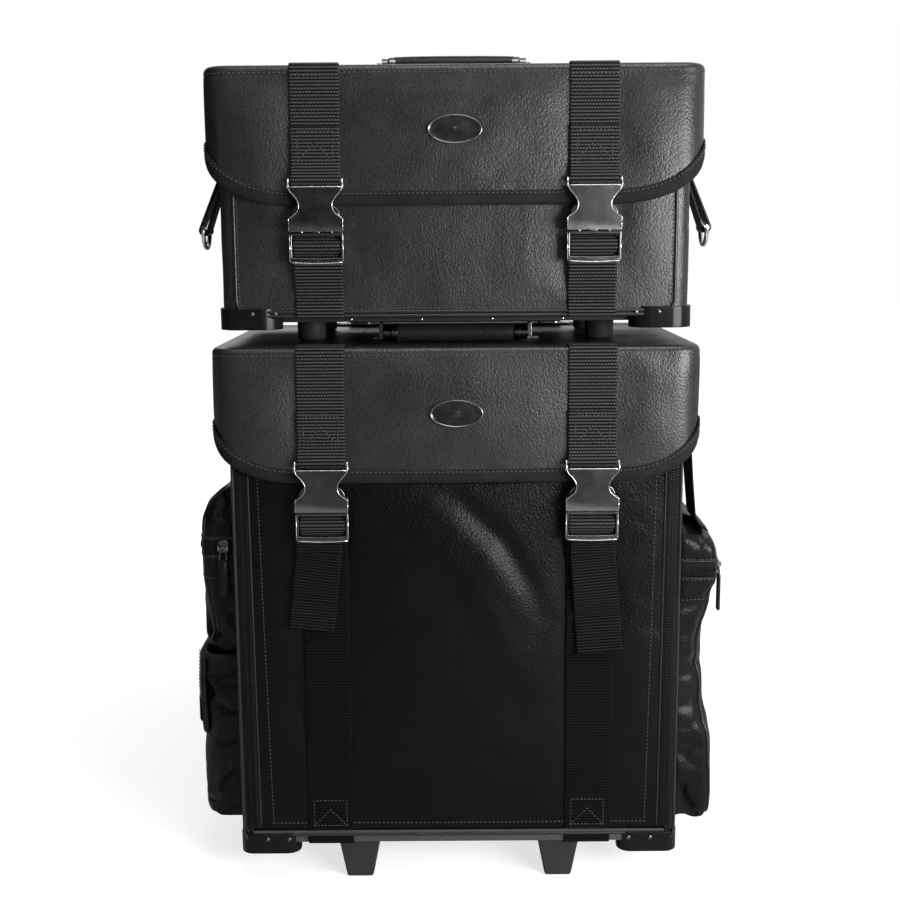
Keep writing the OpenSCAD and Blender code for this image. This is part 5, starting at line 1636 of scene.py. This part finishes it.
strap_piece("flap_band", [strap_parts(band_line, 20, 1.2, (0, 0, 1))], "left_pocket_flap", spare_webbing)

# Side strap: webbing that leaves the right side under the lid's skirt, stands off it and is sewn down
# again on the sloping top of the tall pocket.
strap_y = -71.85
right_skin = skin_of(right_bag)


def pocket_top(x):
    """Height of the tall pocket's top under the strap, and the strap's half thickness."""
    starts = [Vector((x, strap_y + w, 340)) * 0.001 for w in (-15, 0, 15)]
    hits = [right_skin.ray_cast(start, Vector((0, 0, -1)))[0] for start in starts]
    return max(hit.z for hit in hits if hit) * 1000 + 1.0


bow_corners = [(181, 436.6), (181.4, 424), (190, 386), (193.5, 336), (196.5, pocket_top(196.5) + 4),
    (200, pocket_top(200)), (207, pocket_top(207))]
bow_line = sampled(rounded([(x, strap_y, z) for x, z in bow_corners], 7), 1.5)
bow = strap_parts(bow_line, strap_w, 1.5, (0, 1, 0))
side_webbing = strap_piece("side_webbing", [bow], "lower_case", spare_webbing, "side_strap")
for end, ends in (("top", (2, 7)), ("foot", (-6, -3))):
    rows = []
    for k in ends:
        along = (bow_line[k + 1] - bow_line[k - 1]).normalized()
        out = Vector((-along.z, 0, along.x))
        rows.append([bow_line[k] + out * 1.05 + Vector((0, w, 0)) for w in np.linspace(-16, 16, 12)])
    sew(f"side_strap_stitches_{end}", rows, "lower_case", tuple(out), pitch=3.0, length=2.2)

# Ring tabs: a doubled leather tab sewn to each side of the upper case, which stands off and ends in a
# loop round the straight bar of a bent steel ring.
ring_x, ring_y, ring_z = 201.5, -68.85, 540
tabs = []
for side, side_name in ((-1, "left"), (1, "right")):
    turn = [(ring_x + 3.4 * math.cos(a), ring_z + 3.4 * math.sin(a)) for a in np.linspace(0.35, -3.5, 15)]
    run = [(187.2, 589), (187.2, 583)] + turn + [(185.9, 577)]
    line = sampled([(side * a, ring_y, b) for a, b in run], 2.0)
    tabs.append(strap_parts(line, 20, 2.1, (0, 1, 0))[:2])
    sewn = [[(side * (188.9 + 13.4 * t), ring_y + w, 582 - 37 * t) for t in np.linspace(0, 0.84, 14)]
        for w in (-8, 8)]
    sewn.append([(side * 188.4, ring_y + w, 586.5) for w in np.linspace(-8, 8, 8)])
    sew(f"ring_tab_stitches_{side_name}", sewn, "upper_case", (side, 0, 0), pitch=3.0, length=2.2)
    refinish(f"d_ring_{side_name}", chrome)
solid_piece("ring_tabs", tabs, "upper_case", "leather", carry_leather, 0, "d_ring_tabs")

# Inside: a lift-out tray, with a loose wall across its middle, in the upper case and a shelf in the
# lower one, all of board covered in woven lining.
board_cloth = woven_lining("board_cloth", (0.032, 0.031, 0.034))
board_copy("lift_out_tray", "upper_tray", "upper_case", "lining_board", [board_cloth], 0.8)
board_copy("inner_shelf", "lower_shelf", "lower_case", "lining_board", [board_cloth], 1.0)

# Zip sliders and pulls: die-cast sliders. The pockets' ones carry a wire loop and a bare black tag on
# a cross pin, and the front ones a short flat tab that fits under the flap.
tag_black = moulded("tag_black", 0.01, 0.3, 0.08)


def mirrored(half):
    return half + [(-a, b) for a, b in half[::-1]]


def placed(part, origin, turned=False):
    """A shape drawn facing -Y round its own origin, set down there or turned to face +X."""
    points, faces = part
    ox, oy, oz = origin
    return [Vector((ox - p[1], oy + p[0], oz + p[2]) if turned else (ox + p[0], oy + p[1], oz + p[2]))
        for p in points], faces


slider_face = mirrored([(3.0, 15.8), (4.3, 14.4), (4.5, 10.5), (3.4, 6.0), (3.3, 1.6), (2.2, 0.2)])
tab = mirrored([(1.6, 1.5), (2.5, 0.0), (2.5, -9.8), (1.5, -11.9)])
tab_hole = mirrored([(0.8, -6.6), (1.3, -7.3), (1.3, -9.0), (0.8, -9.7)])
shapes = [plate(slider_face, 0, -1.1), plate(slider_face, -2.1, -3.4),
    plate([(-1.2, 9), (1.2, 9), (1.2, 15), (-1.2, 15)], -0.9, -2.3), plate(tab, -1.9, -3.3, tab_hole)]
for side, side_name in ((-1, "left"), (1, "right")):
    origin = (side * panel_half, y_front - 0.3, z_lower_edge + 26)
    body = f"front_zip_slider_{side_name}"
    solid_piece(f"front_slider_{side_name}", [placed(shape, origin) for shape in shapes], body, "gunmetal",
        gunmetal, 0.3, body)
low = mirrored([(2.6, 5.9), (4.3, 4.8), (4.5, 2), (3.5, -1.2), (3.3, -3.2), (2.2, -4)])
shapes = [plate(low, 1.75, 0.9), plate(low, 0.75, 0.0), plate([(-1, 1), (1, 1), (1, 5), (-1, 5)], 1.0, 0.5)]
shapes += [plate([(s * 2.8, -1.9), (s * 4.4, -1.9), (s * 4.4, 1.9), (s * 2.8, 1.9)], 0.4, -3.0)
    for s in (-1, 1)]
shapes.append(tube([(x, -1.8, 0) for x in (-4.2, 0, 4.2)], 0.8, sides=12))
half_loop = [(-3.1, -11.2), (-2.9, -7), (-2.0, -1.2), (-1.0, 0.9)]
loop_line = [(a, -1.8, b) for a, b in half_loop + [(-a, b) for a, b in half_loop[::-1]]]
loop = tube(rounded(loop_line, 1.6, closed=True), 0.62, closed=True)
tag = mirrored([(2.8, -9.4), (3.8, -10.4), (4.0, -12), (4.0, -38.6), (3.6, -40.4), (2.6, -41)])
tag_parts = [plate(tag, -0.95, -2.65)]
for face_y in (-2.65, -0.95):
    line = [(a * 0.84, face_y, -25.2 + (b + 25.2) * 0.955) for a, b in tag]
    tag_parts.append(tube(sampled(line + line[:1], 2)[:-1], 0.3, closed=True))
for side_name, origin, turned in (("right", (219.1, -72.85, 261), True),
        ("left", (-192, -98.95, 283), False)):
    body = f"pocket_zip_slider_{side_name}"
    solid_piece(f"pocket_slider_{side_name}", [placed(shape, origin, turned) for shape in shapes], body,
        "bright_metal", gunmetal, 0.25, body)
    pull = f"pocket_zip_pull_{side_name}"
    solid_piece(f"pull_loop_{side_name}", [placed(loop, origin, turned)], pull, "bright_metal", gunmetal, 0)
    solid_piece(f"pull_tag_{side_name}", [placed(part, origin, turned) for part in tag_parts], pull,
        "gunmetal", tag_black, 0, pull)
